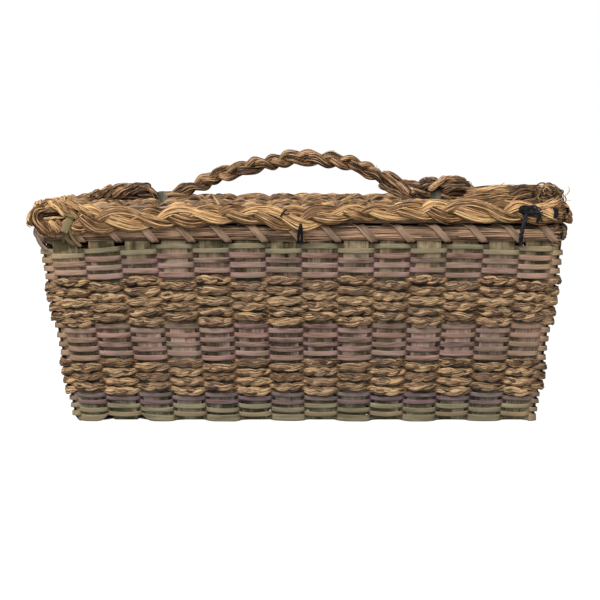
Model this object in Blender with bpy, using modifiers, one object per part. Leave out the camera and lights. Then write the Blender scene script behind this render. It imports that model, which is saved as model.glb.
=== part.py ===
"""A rectangular sewing basket of wood splint and braided sweetgrass, with a tied lid and a rope handle.

Metres, +Z up. The origin is on the underside at the centre. +X runs along the basket's length and -Y is the
side on which the lid is tied. The wall leans out, so its plan is a rounded rectangle that grows with height.
"""

from math import cos, pi, radians, sin, sqrt

import bmesh
import bpy
from mathutils import Matrix, Vector

# Clearance that touching pieces keep
GAP = 0.0003

# Splint stakes, and the gaps between them at the foot and at the rim
STAKE_THICKNESS = 0.0010
CROSS_STAKES = 14
CROSS_WIDTH = 0.0150
CROSS_GAP_FOOT = 0.0037
CROSS_GAP_RIM = 0.0061
LONG_STAKES = 9
LONG_WIDTH = 0.0145
LONG_GAP_FOOT = 0.0035
LONG_GAP_RIM = 0.0050
FOOT_BEND = 0.0020
FOOT_BEND_STEPS = 4

# The wall: how far it stands past the outermost stakes, and its corners, at the foot and at the rim
FOOT_MARGIN = 0.0022
RIM_MARGIN = 0.0066
FOOT_CORNER = 0.0008
RIM_CORNER = 0.0070
CORNER_STEPS = 4
RIM_TOP = 0.1142

# Weavers
ROW_HEIGHT = 0.00266
WEFT_FOOT = 0.0018
SPLINT_SWELL = 0.0016
BRAID_SWELL = 0.0026
ROW_VALLEY_SHARE = 0.45
ROW_CREST_SHARES = (0.3, 0.7)
# The wall's bands from the rim down, each with its material, and how many rows each has
WALL_BANDS = (
    ("weft_green_top", "green_splint"),
    ("weft_rose_upper", "rose_splint"),
    ("weft_braid_upper", "wall_braid"),
    ("weft_rose_middle", "rose_splint"),
    ("weft_braid_lower", "wall_braid"),
    ("weft_purple", "purple_splint"),
    ("weft_green_foot", "green_splint"),
)
WALL_ROW_COUNTS = (2, 5, 9, 8, 7, 3, 4)

# Rim
BUNDLE_HEIGHT = 0.0088
BUNDLE_THICKNESS = 0.0038
BUNDLE_ROUND = 0.0014
HOOP_THICKNESS = 0.0012
LASHING_THICKNESS = 0.0005
LASHING_CLEARANCE = 0.0004
# One turn of the lashing: how far on it has moved to the next gap, going in, up, over and down
LASHING_TURN_SHARES = (0.0, 0.0, 0.12, 0.30, 0.52, 0.60, 0.90)
# How much of its width the lashing keeps where it is folded round a corner
LASHING_CORNER_SHARE = 0.4
LASHING_CORNER_PARTS = 4

# Lid
LID_HOOP_HEIGHT = 0.0086
LID_HOOP_THICKNESS = 0.0012
LID_HOOP_STANDOFF = 0.0002
BORDER_HEIGHT = 0.0135
BORDER_THICKNESS = 0.0043
BORDER_ROUND = 0.0014
# The lid's bands from the front back, each with its material, and how many rows each has
LID_BANDS = (
    ("lid_weft_rose_front", "rose_splint"),
    ("lid_weft_braid_front", "lid_braid"),
    ("lid_weft_middle", "purple_splint"),
    ("lid_weft_braid_back", "lid_braid"),
    ("lid_weft_rose_back", "rose_splint"),
)
LID_ROW_COUNTS = (8, 14, 24, 14, 8)
LID_SPLINT_THICKNESS = 0.0020
LID_BRAID_THICKNESS = 0.0028
LID_VALLEY_SHARE = 0.5
HANDLE_BAND = "lid_weft_middle"
CUT_OVERRUN = 0.0020

# Handle and its two loops
ROPE_DIAMETER = 0.0100
LOOP_GAPS_OUT = 4
LOOP_CLEARANCE = 0.00095
LOOP_THICKNESS = 0.0008
LOOP_FOOT = 0.0080
LOOP_ARC_STEPS = 8
HANDLE_RISE = 0.0178
# The rope's route: along, as a share of the loops' distance from the middle, and up, as a share of the rise
HANDLE_SHARES = (
    (-1.52, 0.0),
    (-1.36, 0.0),
    (-1.20, 0.0),
    (-1.05, 0.0),
    (-0.92, 0.0),
    (-0.80, 0.0),
    (-0.66, 0.27),
    (-0.50, 0.55),
    (-0.32, 0.76),
    (-0.14, 0.94),
    (0.02, 1.03),
    (0.18, 0.95),
    (0.34, 0.86),
    (0.46, 0.66),
    (0.58, 0.30),
    (0.68, 0.03),
    (0.78, 0.0),
    (0.95, 0.0),
    (1.10, 0.0),
    (1.27, 0.0),
)

# Ties between the lid and the rim, and which gap between stakes each goes through, from the middle one
TIE_THICKNESS = 0.0007
TIE_CLEARANCE = 0.00105
THREAD_WIDTH = 0.0016
TIES = (
    ("tie_splint_left", "tie_splint"),
    ("tie_thread_middle", "black_thread"),
    ("tie_thread_right", "black_thread"),
)
TIE_GAP_COUNTS = (-6, 0, 6)

# Colour and roughness
FINISHES = {
    "stake_splint": ((0.23, 0.19, 0.11), 0.75),
    "green_splint": ((0.24, 0.25, 0.13), 0.70),
    "rose_splint": ((0.34, 0.21, 0.17), 0.72),
    "purple_splint": ((0.20, 0.13, 0.15), 0.72),
    "wall_braid": ((0.38, 0.24, 0.10), 0.65),
    "lid_braid": ((0.34, 0.21, 0.10), 0.65),
    "rim_sweetgrass": ((0.36, 0.21, 0.09), 0.60),
    "rim_splint": ((0.30, 0.21, 0.13), 0.70),
    "border_plait": ((0.45, 0.28, 0.11), 0.60),
    "handle_braid": ((0.22, 0.12, 0.06), 0.65),
    "loop_splint": ((0.15, 0.15, 0.10), 0.75),
    "tie_splint": ((0.40, 0.36, 0.20), 0.70),
    "black_thread": ((0.015, 0.015, 0.016), 0.80),
}


# Sizes that follow from those above
def spread(count, pitch, width):
    """From the middle to the outer edge of a row of stakes."""
    return (count - 1) / 2 * pitch + width / 2


CROSS_PITCH_FOOT = CROSS_WIDTH + CROSS_GAP_FOOT
CROSS_PITCH_RIM = CROSS_WIDTH + CROSS_GAP_RIM
LONG_PITCH_FOOT = LONG_WIDTH + LONG_GAP_FOOT
LONG_PITCH_RIM = LONG_WIDTH + LONG_GAP_RIM
FOOT_HALF_LENGTH = spread(CROSS_STAKES, CROSS_PITCH_FOOT, CROSS_WIDTH) + FOOT_MARGIN
RIM_HALF_LENGTH = spread(CROSS_STAKES, CROSS_PITCH_RIM, CROSS_WIDTH) + RIM_MARGIN
FOOT_HALF_DEPTH = spread(LONG_STAKES, LONG_PITCH_FOOT, LONG_WIDTH) + FOOT_MARGIN
RIM_HALF_DEPTH = spread(LONG_STAKES, LONG_PITCH_RIM, LONG_WIDTH) + RIM_MARGIN

# What goes through a gap between stakes fits the gap as it is at the rim
LASHING_WIDTH = min(CROSS_GAP_RIM, LONG_GAP_RIM) - 2 * LASHING_CLEARANCE
LOOP_WIDTH = CROSS_GAP_RIM - 2 * LOOP_CLEARANCE
TIE_WIDTHS = {"tie_splint": CROSS_GAP_RIM - 2 * TIE_CLEARANCE, "black_thread": THREAD_WIDTH}

LONG_LEVEL = STAKE_THICKNESS / 2
CROSS_LEVEL = STAKE_THICKNESS * 3 / 2 + GAP
STAKE_TOP = RIM_TOP - GAP
RIM_BOTTOM = RIM_TOP - BUNDLE_HEIGHT
BUNDLE_INNER = GAP
BUNDLE_OUTER = BUNDLE_INNER + BUNDLE_THICKNESS
HOOP_OUTER = -STAKE_THICKNESS - GAP
HOOP_INNER = HOOP_OUTER - HOOP_THICKNESS
LASHING_MIDDLE = GAP + LASHING_THICKNESS / 2
LASHING_REACH = GAP + LASHING_THICKNESS

LID_BOTTOM = RIM_TOP + LASHING_REACH + GAP
LID_HOOP_INNER = LID_HOOP_STANDOFF
LID_HOOP_OUTER = LID_HOOP_INNER + LID_HOOP_THICKNESS
LID_HOOP_TOP = LID_BOTTOM + LID_HOOP_HEIGHT
BORDER_INNER = LID_HOOP_OUTER + GAP
BORDER_OUTER = BORDER_INNER + BORDER_THICKNESS
BORDER_TOP = LID_BOTTOM + BORDER_HEIGHT
LID_STAKE_LEVEL = LID_HOOP_TOP + GAP + STAKE_THICKNESS / 2
LID_WEFT_BOTTOM = LID_STAKE_LEVEL + STAKE_THICKNESS / 2 + GAP
LID_SPLINT_TOP = LID_WEFT_BOTTOM + LID_SPLINT_THICKNESS
LID_WEFT_REACH = BORDER_INNER - TIE_THICKNESS - 2 * GAP

ROPE_RADIUS = ROPE_DIAMETER / 2
ROPE_LEVEL = LID_SPLINT_TOP + GAP + ROPE_RADIUS
LOOP_AT = LOOP_GAPS_OUT * CROSS_PITCH_RIM
LOOP_RADIUS = ROPE_RADIUS + GAP + LOOP_THICKNESS / 2

# The lid turns about the outer edge of the rim, on the side with the ties
HINGE_AT = (0, -(RIM_HALF_DEPTH + BUNDLE_OUTER + LASHING_REACH + GAP), LID_BOTTOM - GAP / 2)


def at_height(foot, rim, z):
    """A size of the wall that grows evenly from the floor to the rim and stays the same in the lid."""
    return foot + (rim - foot) * min(z, RIM_TOP) / RIM_TOP


def half_length(z):
    return at_height(FOOT_HALF_LENGTH, RIM_HALF_LENGTH, z)


def half_depth(z):
    return at_height(FOOT_HALF_DEPTH, RIM_HALF_DEPTH, z)


def plan_points(z, offset):
    """The wall's rounded rectangle at one height, moved outward by offset, anticlockwise from +X."""
    corner = at_height(FOOT_CORNER, RIM_CORNER, z)
    radius = corner + max(offset, -corner / 2)
    reach_x = half_length(z) + offset - radius
    reach_y = half_depth(z) + offset - radius
    points = []
    for quarter, (side_x, side_y) in enumerate(((1, 1), (-1, 1), (-1, -1), (1, -1))):
        for step in range(CORNER_STEPS + 1):
            angle = (quarter + step / CORNER_STEPS) * pi / 2
            x = side_x * reach_x + radius * cos(angle)
            y = side_y * reach_y + radius * sin(angle)
            points.append(Vector((x, y, z)))
    return points


def cross_pitch(z):
    return at_height(CROSS_PITCH_FOOT, CROSS_PITCH_RIM, z)


def long_pitch(z):
    return at_height(LONG_PITCH_FOOT, LONG_PITCH_RIM, z)


def gap_place(gap, offset, z):
    """A point at a gap between stakes on the side with the ties. gap counts from the side's middle."""
    return Vector((gap * cross_pitch(z), -half_depth(z) - offset, z))


# Making objects
def clear_scene():
    for old in list(bpy.data.objects):
        bpy.data.objects.remove(old)


def make_material(name):
    colour, roughness = FINISHES[name]
    material = bpy.data.materials.new(name)
    material.use_nodes = True
    shader = material.node_tree.nodes["Principled BSDF"]
    shader.inputs["Base Color"].default_value = (*colour, 1)
    shader.inputs["Roughness"].default_value = roughness
    shader.inputs["Metallic"].default_value = 0
    material.diffuse_color = (*colour, 1)
    return material


def finish(bm, name, material, collection, smooth=False):
    """Turn a bmesh into a named object in the basket's collection."""
    mesh = bpy.data.meshes.new(name)
    bmesh.ops.recalc_face_normals(bm, faces=bm.faces)
    bm.to_mesh(mesh)
    bm.free()
    mesh.materials.append(material)
    if smooth:
        mesh.shade_smooth()
        mesh.set_sharp_from_angle(angle=radians(40))
    piece = bpy.data.objects.new(name, mesh)
    collection.objects.link(piece)
    return piece


def add_ribbon(name, path, ways, width, thickness, material, collection, closed=False):
    """A flat strip: a line of points widened along its own way at each point, then thickened."""
    bm = bmesh.new()
    left = [bm.verts.new(point - way * width / 2) for point, way in zip(path, ways)]
    right = [bm.verts.new(point + way * width / 2) for point, way in zip(path, ways)]
    count = len(path)
    for i in range(count if closed else count - 1):
        j = (i + 1) % count
        bm.faces.new((left[i], left[j], right[j], right[i]))
    piece = finish(bm, name, material, collection)
    solid = piece.modifiers.new("thickness", "SOLIDIFY")
    solid.thickness = thickness
    solid.offset = 0
    solid.use_even_offset = True
    return piece


def add_ring(name, profile, material, collection, smooth=False):
    """A ring that follows the wall: a closed outline of (offset, height) points carried round the plan."""
    bm = bmesh.new()
    loops = [[bm.verts.new(point) for point in plan_points(z, offset)] for offset, z in profile]
    for loop, following in zip(loops, loops[1:] + loops[:1]):
        count = len(loop)
        for i in range(count):
            j = (i + 1) % count
            bm.faces.new((loop[i], loop[j], following[j], following[i]))
    return finish(bm, name, material, collection, smooth)


def rounded_bar(inner, outer, bottom, top, rounding):
    """The outline of a bar that is flat inside, below and above, with its outer edges rounded off."""
    cut = rounding * (1 - 1 / sqrt(2))
    return (
        (inner, bottom),
        (outer - rounding, bottom),
        (outer - cut, bottom + cut),
        (outer, bottom + rounding),
        (outer, top - rounding),
        (outer - cut, top - cut),
        (outer - rounding, top),
        (inner, top),
    )


# Basket
def stake_path(side_half, level, pitch, index, along_y):
    """One stake's line: down one wall, round the foot, across the base and up the other wall."""

    def place(out, z, side):
        across = index * pitch(z)
        return Vector((across, side * out, z)) if along_y else Vector((side * out, across, z))

    half = STAKE_THICKNESS / 2
    start = level + FOOT_BEND
    bend_out = side_half(start) - half
    bend = [
        (bend_out - FOOT_BEND * (1 - cos(turn)), start - FOOT_BEND * sin(turn))
        for turn in (step / FOOT_BEND_STEPS * pi / 2 for step in range(FOOT_BEND_STEPS + 1))
    ]
    one_side = [(side_half(STAKE_TOP) - half, STAKE_TOP)] + bend
    left = [place(out, z, -1) for out, z in one_side]
    right = [place(out, z, 1) for out, z in reversed(one_side)]
    return left + right


def add_stakes(materials, collection):
    for k in range(CROSS_STAKES):
        index = k - (CROSS_STAKES - 1) / 2
        path = stake_path(half_depth, CROSS_LEVEL, cross_pitch, index, True)
        ways = [Vector((1, 0, 0))] * len(path)
        name = f"cross_stake_{k + 1:02d}"
        add_ribbon(name, path, ways, CROSS_WIDTH, STAKE_THICKNESS, materials["stake_splint"], collection)
    for k in range(LONG_STAKES):
        index = k - (LONG_STAKES - 1) / 2
        path = stake_path(half_length, LONG_LEVEL, long_pitch, index, False)
        ways = [Vector((0, 1, 0))] * len(path)
        name = f"long_stake_{k + 1:02d}"
        add_ribbon(name, path, ways, LONG_WIDTH, STAKE_THICKNESS, materials["stake_splint"], collection)


def add_wall_bands(materials, collection):
    """The weavers, a ribbed ring for each band, outside the stakes."""
    bottom = WEFT_FOOT
    for (name, finish_name), rows in reversed(list(zip(WALL_BANDS, WALL_ROW_COUNTS))):
        swell = BRAID_SWELL if finish_name == "wall_braid" else SPLINT_SWELL
        top = bottom + rows * ROW_HEIGHT - GAP
        profile = [(GAP, bottom)]
        for row in range(rows):
            low = bottom + row * ROW_HEIGHT
            profile.append((GAP + swell * ROW_VALLEY_SHARE, low))
            profile += [(GAP + swell, low + ROW_HEIGHT * share) for share in ROW_CREST_SHARES]
        profile += [(GAP + swell * ROW_VALLEY_SHARE, top), (GAP, top)]
        add_ring(name, profile, materials[finish_name], collection)
        bottom += rows * ROW_HEIGHT


def lashing_gaps():
    """Each gap between stakes as (side, gap), anticlockwise, with None for the gap at a corner."""
    gaps = []
    for side in range(4):
        count = LONG_STAKES if side % 2 == 0 else CROSS_STAKES
        gaps += [(side, k - (count - 2) / 2) for k in range(count - 1)]
        gaps.append((side, None))
    return gaps


def line_length(line):
    return sum((b - a).length for a, b in zip(line, line[1:]))


def walk(line, distance):
    """The point at a distance along a line, and the line's direction there."""
    for a, b in zip(line, line[1:]):
        step = (b - a).length
        if distance <= step:
            break
        distance -= step
    way = (b - a).normalized()
    return a + way * distance, way


def gap_distance(line, side, gap, z):
    """How far along the closed plan line one gap lies, from the middle of the +X side."""
    if gap is None:
        corner = side * (CORNER_STEPS + 1) + CORNER_STEPS // 2 + 1
        return line_length(line[: corner + 1])
    pitch = long_pitch(z) if side % 2 == 0 else cross_pitch(z)
    return side * line_length(line) / 4 + gap * pitch


def lashing_place(gap, following, share, offset, z):
    """A point of the lashing between two gaps, and its way along the wall, narrowed beside a corner."""
    start = Vector((half_length(z) + offset, 0, z))
    line = [start, *plan_points(z, offset), start]
    around = line_length(line)
    first = gap_distance(line, *gap, z)
    last = gap_distance(line, *following, z)
    if last < first:
        last += around
    point, way = walk(line, (first + (last - first) * share) % around)
    at_corner = (1 - share) * (gap[1] is None) + share * (following[1] is None)
    return point, way * (1 - at_corner * (1 - LASHING_CORNER_SHARE))


def finer(turn, parts):
    """The same turn with each of its steps split into parts, the last of them leading to the next gap."""
    end = (1.0, *turn[0][1:])
    return [
        tuple(a + (b - a) * part / parts for a, b in zip(here, there))
        for here, there in zip(turn, turn[1:] + [end])
        for part in range(parts)
    ]


def add_lashing(materials, collection):
    """A flat splint wound round the rim: in through each gap, up inside, over and down to the next."""
    inner = HOOP_INNER - LASHING_MIDDLE
    outer = BUNDLE_OUTER + LASHING_MIDDLE
    low = RIM_BOTTOM - LASHING_MIDDLE
    high = RIM_TOP + LASHING_MIDDLE
    section = (
        (outer, low),
        (inner, low),
        (inner, RIM_BOTTOM + BUNDLE_HEIGHT / 4),
        (inner, high),
        (outer - BUNDLE_ROUND, high),
        (outer, high - BUNDLE_ROUND),
        (outer, RIM_BOTTOM + BUNDLE_HEIGHT / 4),
    )
    turn = [(share, *spot) for share, spot in zip(LASHING_TURN_SHARES, section)]
    gaps = lashing_gaps()
    path, ways = [], []
    for gap, following in zip(gaps, gaps[1:] + gaps[:1]):
        by_corner = gap[1] is None or following[1] is None
        for share, offset, z in finer(turn, LASHING_CORNER_PARTS if by_corner else 1):
            point, way = lashing_place(gap, following, share, offset, z)
            path.append(point)
            ways.append(way)
    material = materials["rim_splint"]
    add_ribbon("rim_lashing", path, ways, LASHING_WIDTH, LASHING_THICKNESS, material, collection, True)


def add_rim(materials, collection):
    bundle = rounded_bar(BUNDLE_INNER, BUNDLE_OUTER, RIM_BOTTOM, RIM_TOP, BUNDLE_ROUND)
    add_ring("rim_bundle", bundle, materials["rim_sweetgrass"], collection, smooth=True)
    hoop = (
        (HOOP_INNER, RIM_BOTTOM),
        (HOOP_OUTER, RIM_BOTTOM),
        (HOOP_OUTER, RIM_TOP),
        (HOOP_INNER, RIM_TOP),
    )
    add_ring("rim_hoop", hoop, materials["stake_splint"], collection)
    add_lashing(materials, collection)


# Lid
def add_lid_stakes(materials, collection):
    reach = RIM_HALF_DEPTH + LID_HOOP_OUTER
    for k in range(CROSS_STAKES):
        x = (k - (CROSS_STAKES - 1) / 2) * CROSS_PITCH_RIM
        path = [Vector((x, side * reach, LID_STAKE_LEVEL)) for side in (-1, 1)]
        ways = [Vector((1, 0, 0))] * len(path)
        name = f"lid_stake_{k + 1:02d}"
        add_ribbon(name, path, ways, CROSS_WIDTH, STAKE_THICKNESS, materials["stake_splint"], collection)


def loop_slot_cutters(collection):
    """Boxes where the legs of the handle's loops go down through the lid's middle band."""
    bm = bmesh.new()
    height = LID_SPLINT_THICKNESS + 2 * CUT_OVERRUN
    level = LID_WEFT_BOTTOM + LID_SPLINT_THICKNESS / 2
    size = (LOOP_WIDTH + 2 * GAP, LOOP_THICKNESS + 2 * GAP, height)
    for x in (-LOOP_AT, LOOP_AT):
        for y in (-LOOP_RADIUS, LOOP_RADIUS):
            made = bmesh.ops.create_cube(bm, size=1)
            bmesh.ops.scale(bm, vec=size, verts=made["verts"])
            bmesh.ops.translate(bm, vec=(x, y, level), verts=made["verts"])
    mesh = bpy.data.meshes.new("loop_slots")
    bm.to_mesh(mesh)
    bm.free()
    cutter = bpy.data.objects.new("loop_slots", mesh)
    cutter.hide_render = True
    cutter.display_type = "WIRE"
    collection.objects.link(cutter)
    return cutter


def lid_reach(y):
    """How far a row of the lid's weavers runs out along X at y, inside the border's rounded corners."""
    radius = RIM_CORNER + BORDER_INNER - GAP
    over = abs(y) - (RIM_HALF_DEPTH - RIM_CORNER)
    if over <= 0:
        return RIM_HALF_LENGTH + LID_WEFT_REACH
    rounded = RIM_HALF_LENGTH - RIM_CORNER + sqrt(radius**2 - over**2)
    return min(rounded, RIM_HALF_LENGTH + LID_WEFT_REACH)


def add_lid_bands(materials, collection, cutters):
    """The lid's weavers, a ribbed plate for each band, on the lid's stakes."""
    depth = 2 * (RIM_HALF_DEPTH + LID_WEFT_REACH)
    row = depth / sum(LID_ROW_COUNTS)
    start = -depth / 2
    for (name, finish_name), rows in zip(LID_BANDS, LID_ROW_COUNTS):
        thickness = LID_BRAID_THICKNESS if finish_name == "lid_braid" else LID_SPLINT_THICKNESS
        valley = LID_WEFT_BOTTOM + thickness * LID_VALLEY_SHARE
        crest = LID_WEFT_BOTTOM + thickness
        end = start + rows * row - GAP
        reach = min(lid_reach(start), lid_reach(end))
        outline = [(start, LID_WEFT_BOTTOM)]
        for k in range(rows):
            outline.append((start + k * row, valley))
            outline += [(start + (k + share) * row, crest) for share in ROW_CREST_SHARES]
        outline += [(end, valley), (end, LID_WEFT_BOTTOM)]
        bm = bmesh.new()
        face = bm.faces.new([bm.verts.new((-reach, y, z)) for y, z in outline])
        pushed = bmesh.ops.extrude_face_region(bm, geom=[face])
        moved = [item for item in pushed["geom"] if isinstance(item, bmesh.types.BMVert)]
        bmesh.ops.translate(bm, vec=(2 * reach, 0, 0), verts=moved)
        piece = finish(bm, name, materials[finish_name], collection)
        if name == HANDLE_BAND:
            cut = piece.modifiers.new("loop slots", "BOOLEAN")
            cut.operation = "DIFFERENCE"
            cut.object = loop_slot_cutters(cutters)
        start += rows * row


def add_lid_edge(materials, collection):
    hoop = (
        (LID_HOOP_INNER, LID_BOTTOM),
        (LID_HOOP_OUTER, LID_BOTTOM),
        (LID_HOOP_OUTER, LID_HOOP_TOP),
        (LID_HOOP_INNER, LID_HOOP_TOP),
    )
    # The hoop and the border stand straight up from the rim, because the wall stops growing there
    add_ring("lid_hoop", hoop, materials["stake_splint"], collection)
    border = rounded_bar(BORDER_INNER, BORDER_OUTER, LID_BOTTOM, BORDER_TOP, BORDER_ROUND)
    add_ring("lid_border", border, materials["border_plait"], collection, smooth=True)


# Handle
def add_handle_loops(materials, collection):
    """Splint loops over the rope, with feet turned out under the lid's middle band."""
    foot_level = LID_STAKE_LEVEL
    arc = [
        (-LOOP_RADIUS * cos(turn), ROPE_LEVEL + LOOP_RADIUS * sin(turn))
        for turn in (step / LOOP_ARC_STEPS * pi for step in range(LOOP_ARC_STEPS + 1))
    ]
    line = [(-LOOP_RADIUS - LOOP_FOOT, foot_level), (-LOOP_RADIUS, foot_level)]
    line += arc
    line += [(LOOP_RADIUS, foot_level), (LOOP_RADIUS + LOOP_FOOT, foot_level)]
    for name, x in (("handle_loop_left", -LOOP_AT), ("handle_loop_right", LOOP_AT)):
        path = [Vector((x, y, z)) for y, z in line]
        ways = [Vector((1, 0, 0))] * len(path)
        add_ribbon(name, path, ways, LOOP_WIDTH, LOOP_THICKNESS, materials["loop_splint"], collection)


def add_handle(materials, collection):
    """The rope, a tube along its route, with its origin on the line through the two loops."""
    curve = bpy.data.curves.new("handle_rope", "CURVE")
    curve.dimensions = "3D"
    curve.resolution_u = 2
    curve.bevel_depth = ROPE_RADIUS
    curve.bevel_resolution = 3
    curve.use_fill_caps = True
    spline = curve.splines.new("NURBS")
    spline.points.add(len(HANDLE_SHARES) - 1)
    for point, (along, up) in zip(spline.points, HANDLE_SHARES):
        point.co = (along * LOOP_AT, 0, up * HANDLE_RISE, 1)
    spline.order_u = 4
    spline.use_endpoint_u = True
    curve.materials.append(materials["handle_braid"])
    rope = bpy.data.objects.new("handle_rope", curve)
    rope.location = (0, 0, ROPE_LEVEL)
    collection.objects.link(rope)


# Ties
def tie_line():
    """A tie's closed line, as (offset, height): under the rim, up the outside, over the border and down."""
    half = TIE_THICKNESS / 2
    under = RIM_BOTTOM - LASHING_REACH - GAP - half
    rim_outside = BUNDLE_OUTER + LASHING_REACH + GAP + half
    rim_inside = HOOP_INNER - LASHING_REACH - GAP - half
    border_outside = BORDER_OUTER + GAP + half
    border_inside = BORDER_INNER - GAP - half
    hoop_inside = LID_HOOP_INNER - GAP - half
    over = BORDER_TOP + GAP + half
    between_stakes = LID_STAKE_LEVEL
    above_rim = LID_BOTTOM + GAP + half
    return (
        (rim_inside, under),
        (rim_outside, under),
        (rim_outside, RIM_TOP - BUNDLE_ROUND),
        (border_outside, LID_BOTTOM + BORDER_ROUND),
        (border_outside, over),
        (border_inside, over),
        (border_inside, between_stakes),
        (hoop_inside, between_stakes),
        (hoop_inside, above_rim),
        (rim_inside, above_rim),
    )


def add_ties(materials, collection):
    for (name, finish_name), gaps_out in zip(TIES, TIE_GAP_COUNTS):
        path = [gap_place(gaps_out, offset, z) for offset, z in tie_line()]
        ways = [Vector((1, 0, 0))] * len(path)
        width = TIE_WIDTHS[finish_name]
        add_ribbon(name, path, ways, width, TIE_THICKNESS, materials[finish_name], collection, closed=True)


def hang_on_pivots(collection):
    """Two empties, on the line that the lid turns about and on the handle's, carry what moves with each."""
    lid_pivot = bpy.data.objects.new("lid_pivot", None)
    lid_pivot.location = HINGE_AT
    handle_pivot = bpy.data.objects.new("handle_pivot", None)
    handle_pivot.location = (0, 0, ROPE_LEVEL)
    carried = {
        lid_pivot: ("lid_", "handle_loop"),
        handle_pivot: ("handle_rope",),
    }
    for pivot, beginnings in carried.items():
        for piece in collection.objects:
            if piece.name.startswith(beginnings):
                piece.parent = pivot
                piece.matrix_parent_inverse = Matrix.Translation(pivot.location).inverted()
    handle_pivot.parent = lid_pivot
    handle_pivot.matrix_parent_inverse = Matrix.Translation(lid_pivot.location).inverted()
    collection.objects.link(lid_pivot)
    collection.objects.link(handle_pivot)


def main():
    clear_scene()
    basket = bpy.data.collections.new("sewing_basket")
    cutters = bpy.data.collections.new("cutters")
    bpy.context.scene.collection.children.link(basket)
    bpy.context.scene.collection.children.link(cutters)
    materials = {name: make_material(name) for name in FINISHES}
    add_stakes(materials, basket)
    add_wall_bands(materials, basket)
    add_rim(materials, basket)
    add_lid_stakes(materials, basket)
    add_lid_bands(materials, basket, cutters)
    add_lid_edge(materials, basket)
    add_handle_loops(materials, basket)
    add_handle(materials, basket)
    add_ties(materials, basket)
    hang_on_pivots(basket)


main()
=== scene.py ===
"""The looks of the sewing basket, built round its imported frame.

Metres, in the frame's own axes: +X along the basket's length, -Y towards the viewer and +Z up. Every strip
and strand is swept along a path that the weave gives, and carries a grain attribute that its material reads.
"""

from math import cos, pi, radians, sin
from zlib import crc32

import bpy
import numpy as np
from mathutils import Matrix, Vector


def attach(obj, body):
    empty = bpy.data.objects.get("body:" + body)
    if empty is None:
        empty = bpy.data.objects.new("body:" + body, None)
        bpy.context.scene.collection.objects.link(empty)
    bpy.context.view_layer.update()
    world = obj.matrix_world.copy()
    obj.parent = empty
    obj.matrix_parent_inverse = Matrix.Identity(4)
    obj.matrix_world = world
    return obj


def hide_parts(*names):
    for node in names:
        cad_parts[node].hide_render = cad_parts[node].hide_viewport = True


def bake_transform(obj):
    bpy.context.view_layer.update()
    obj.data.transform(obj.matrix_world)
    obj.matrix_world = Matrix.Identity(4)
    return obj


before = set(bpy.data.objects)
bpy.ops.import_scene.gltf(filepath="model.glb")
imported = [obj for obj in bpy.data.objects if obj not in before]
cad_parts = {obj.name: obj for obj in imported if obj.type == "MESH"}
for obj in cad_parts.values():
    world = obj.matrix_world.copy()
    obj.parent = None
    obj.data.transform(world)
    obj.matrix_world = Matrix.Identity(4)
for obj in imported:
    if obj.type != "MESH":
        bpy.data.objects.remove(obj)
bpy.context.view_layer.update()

# The wall, each size at the foot and at the rim
CROSS_STAKES = 14
LONG_STAKES = 9
TURN = 2 * (CROSS_STAKES + LONG_STAKES)
CROSS_PITCH = (0.0191, 0.0211)
LONG_PITCH = (0.0180, 0.0195)
CROSS_WIDTH = 0.0150
LONG_WIDTH = 0.0145
HALF_LENGTH = (0.1349, 0.1515)
HALF_DEPTH = (0.0818, 0.0919)
CORNER = (0.0040, 0.0070)
# The gap beside each corner lies this far round onto the long side
GAP_SHIFT = (0.0031, 0.0041)
# The walls lean outwards up to here, and the foot sits a little to the right of the rim
TAPER_TOP = 0.1040
FOOT_SHIFT = 0.0019
RIM_TOP = 0.1155
RIM_BOTTOM = 0.1069
STAKE_THICKNESS = 0.0009
WEFT_TOP = 0.1053

# Bands of weavers from the rim down: node, rows, height of a row, slot
WALL_BANDS = (
    ("weft_green_top", 2, 0.00265, "green_splint"),
    ("weft_rose_upper", 5, 0.00283, "rose_splint"),
    ("weft_braid_upper", 9, 0.00304, "wall_braid"),
    ("weft_rose_middle", 8, 0.00266, "rose_splint"),
    ("weft_braid_lower", 7, 0.00279, "wall_braid"),
    ("weft_purple", 3, 0.00218, "purple_splint"),
    ("weft_green_foot", 4, 0.00240, "green_splint"),
)
# The last row stands this much off its place, is taller than the rest of its band and sags less
FOOT_ROW = (-0.0003, 1.50, 0.4)
# Gaps in which the last row is drawn up and narrowed: how far up, how much of its height is left, how wide
FOOT_NOTCHES = (1.0, 2.0)
FOOT_NOTCH = (0.0020, 0.35, 0.16)
# Near the wall's ends the upper rows drop: places and shares of the drop, then heights and drops
END_DROP_PLACES = (0.5, 1.5, 2.5, 3.5, 10.5, 11.5, 12.5, 13.5, 15.0, 17.0, 43.0, 45.5)
END_DROP_SHARES = (1.0, 0.72, 0.25, 0.0, 0.0, 0.1, 0.3, 0.5, 0.5, 0.0, 0.0, 1.0)
END_DROP_HEIGHTS = (0.058, 0.066, 0.088, 0.095, 0.104)
END_DROPS = (0.0, 0.0012, 0.0014, 0.0026, 0.0034)
# Bands of the lid from the front back: node, rows, slot
LID_BANDS = (
    ("lid_weft_rose_front", 8, "rose_splint"),
    ("lid_weft_braid_front", 14, "lid_braid"),
    ("lid_weft_middle", 24, "purple_splint"),
    ("lid_weft_braid_back", 14, "lid_braid"),
    ("lid_weft_rose_back", 8, "rose_splint"),
)
LID_STAKE_LEVEL = 0.1247
LID_REACH_X = 0.1518
LID_REACH_Y = 0.0926
LID_PITCH = 2 * LID_REACH_Y / sum(rows for _, rows, _ in LID_BANDS)
# A place on the back wall, counted in stakes: the lid's weavers are as tall between stakes as there
BACK_PLACE = 30.0

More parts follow.
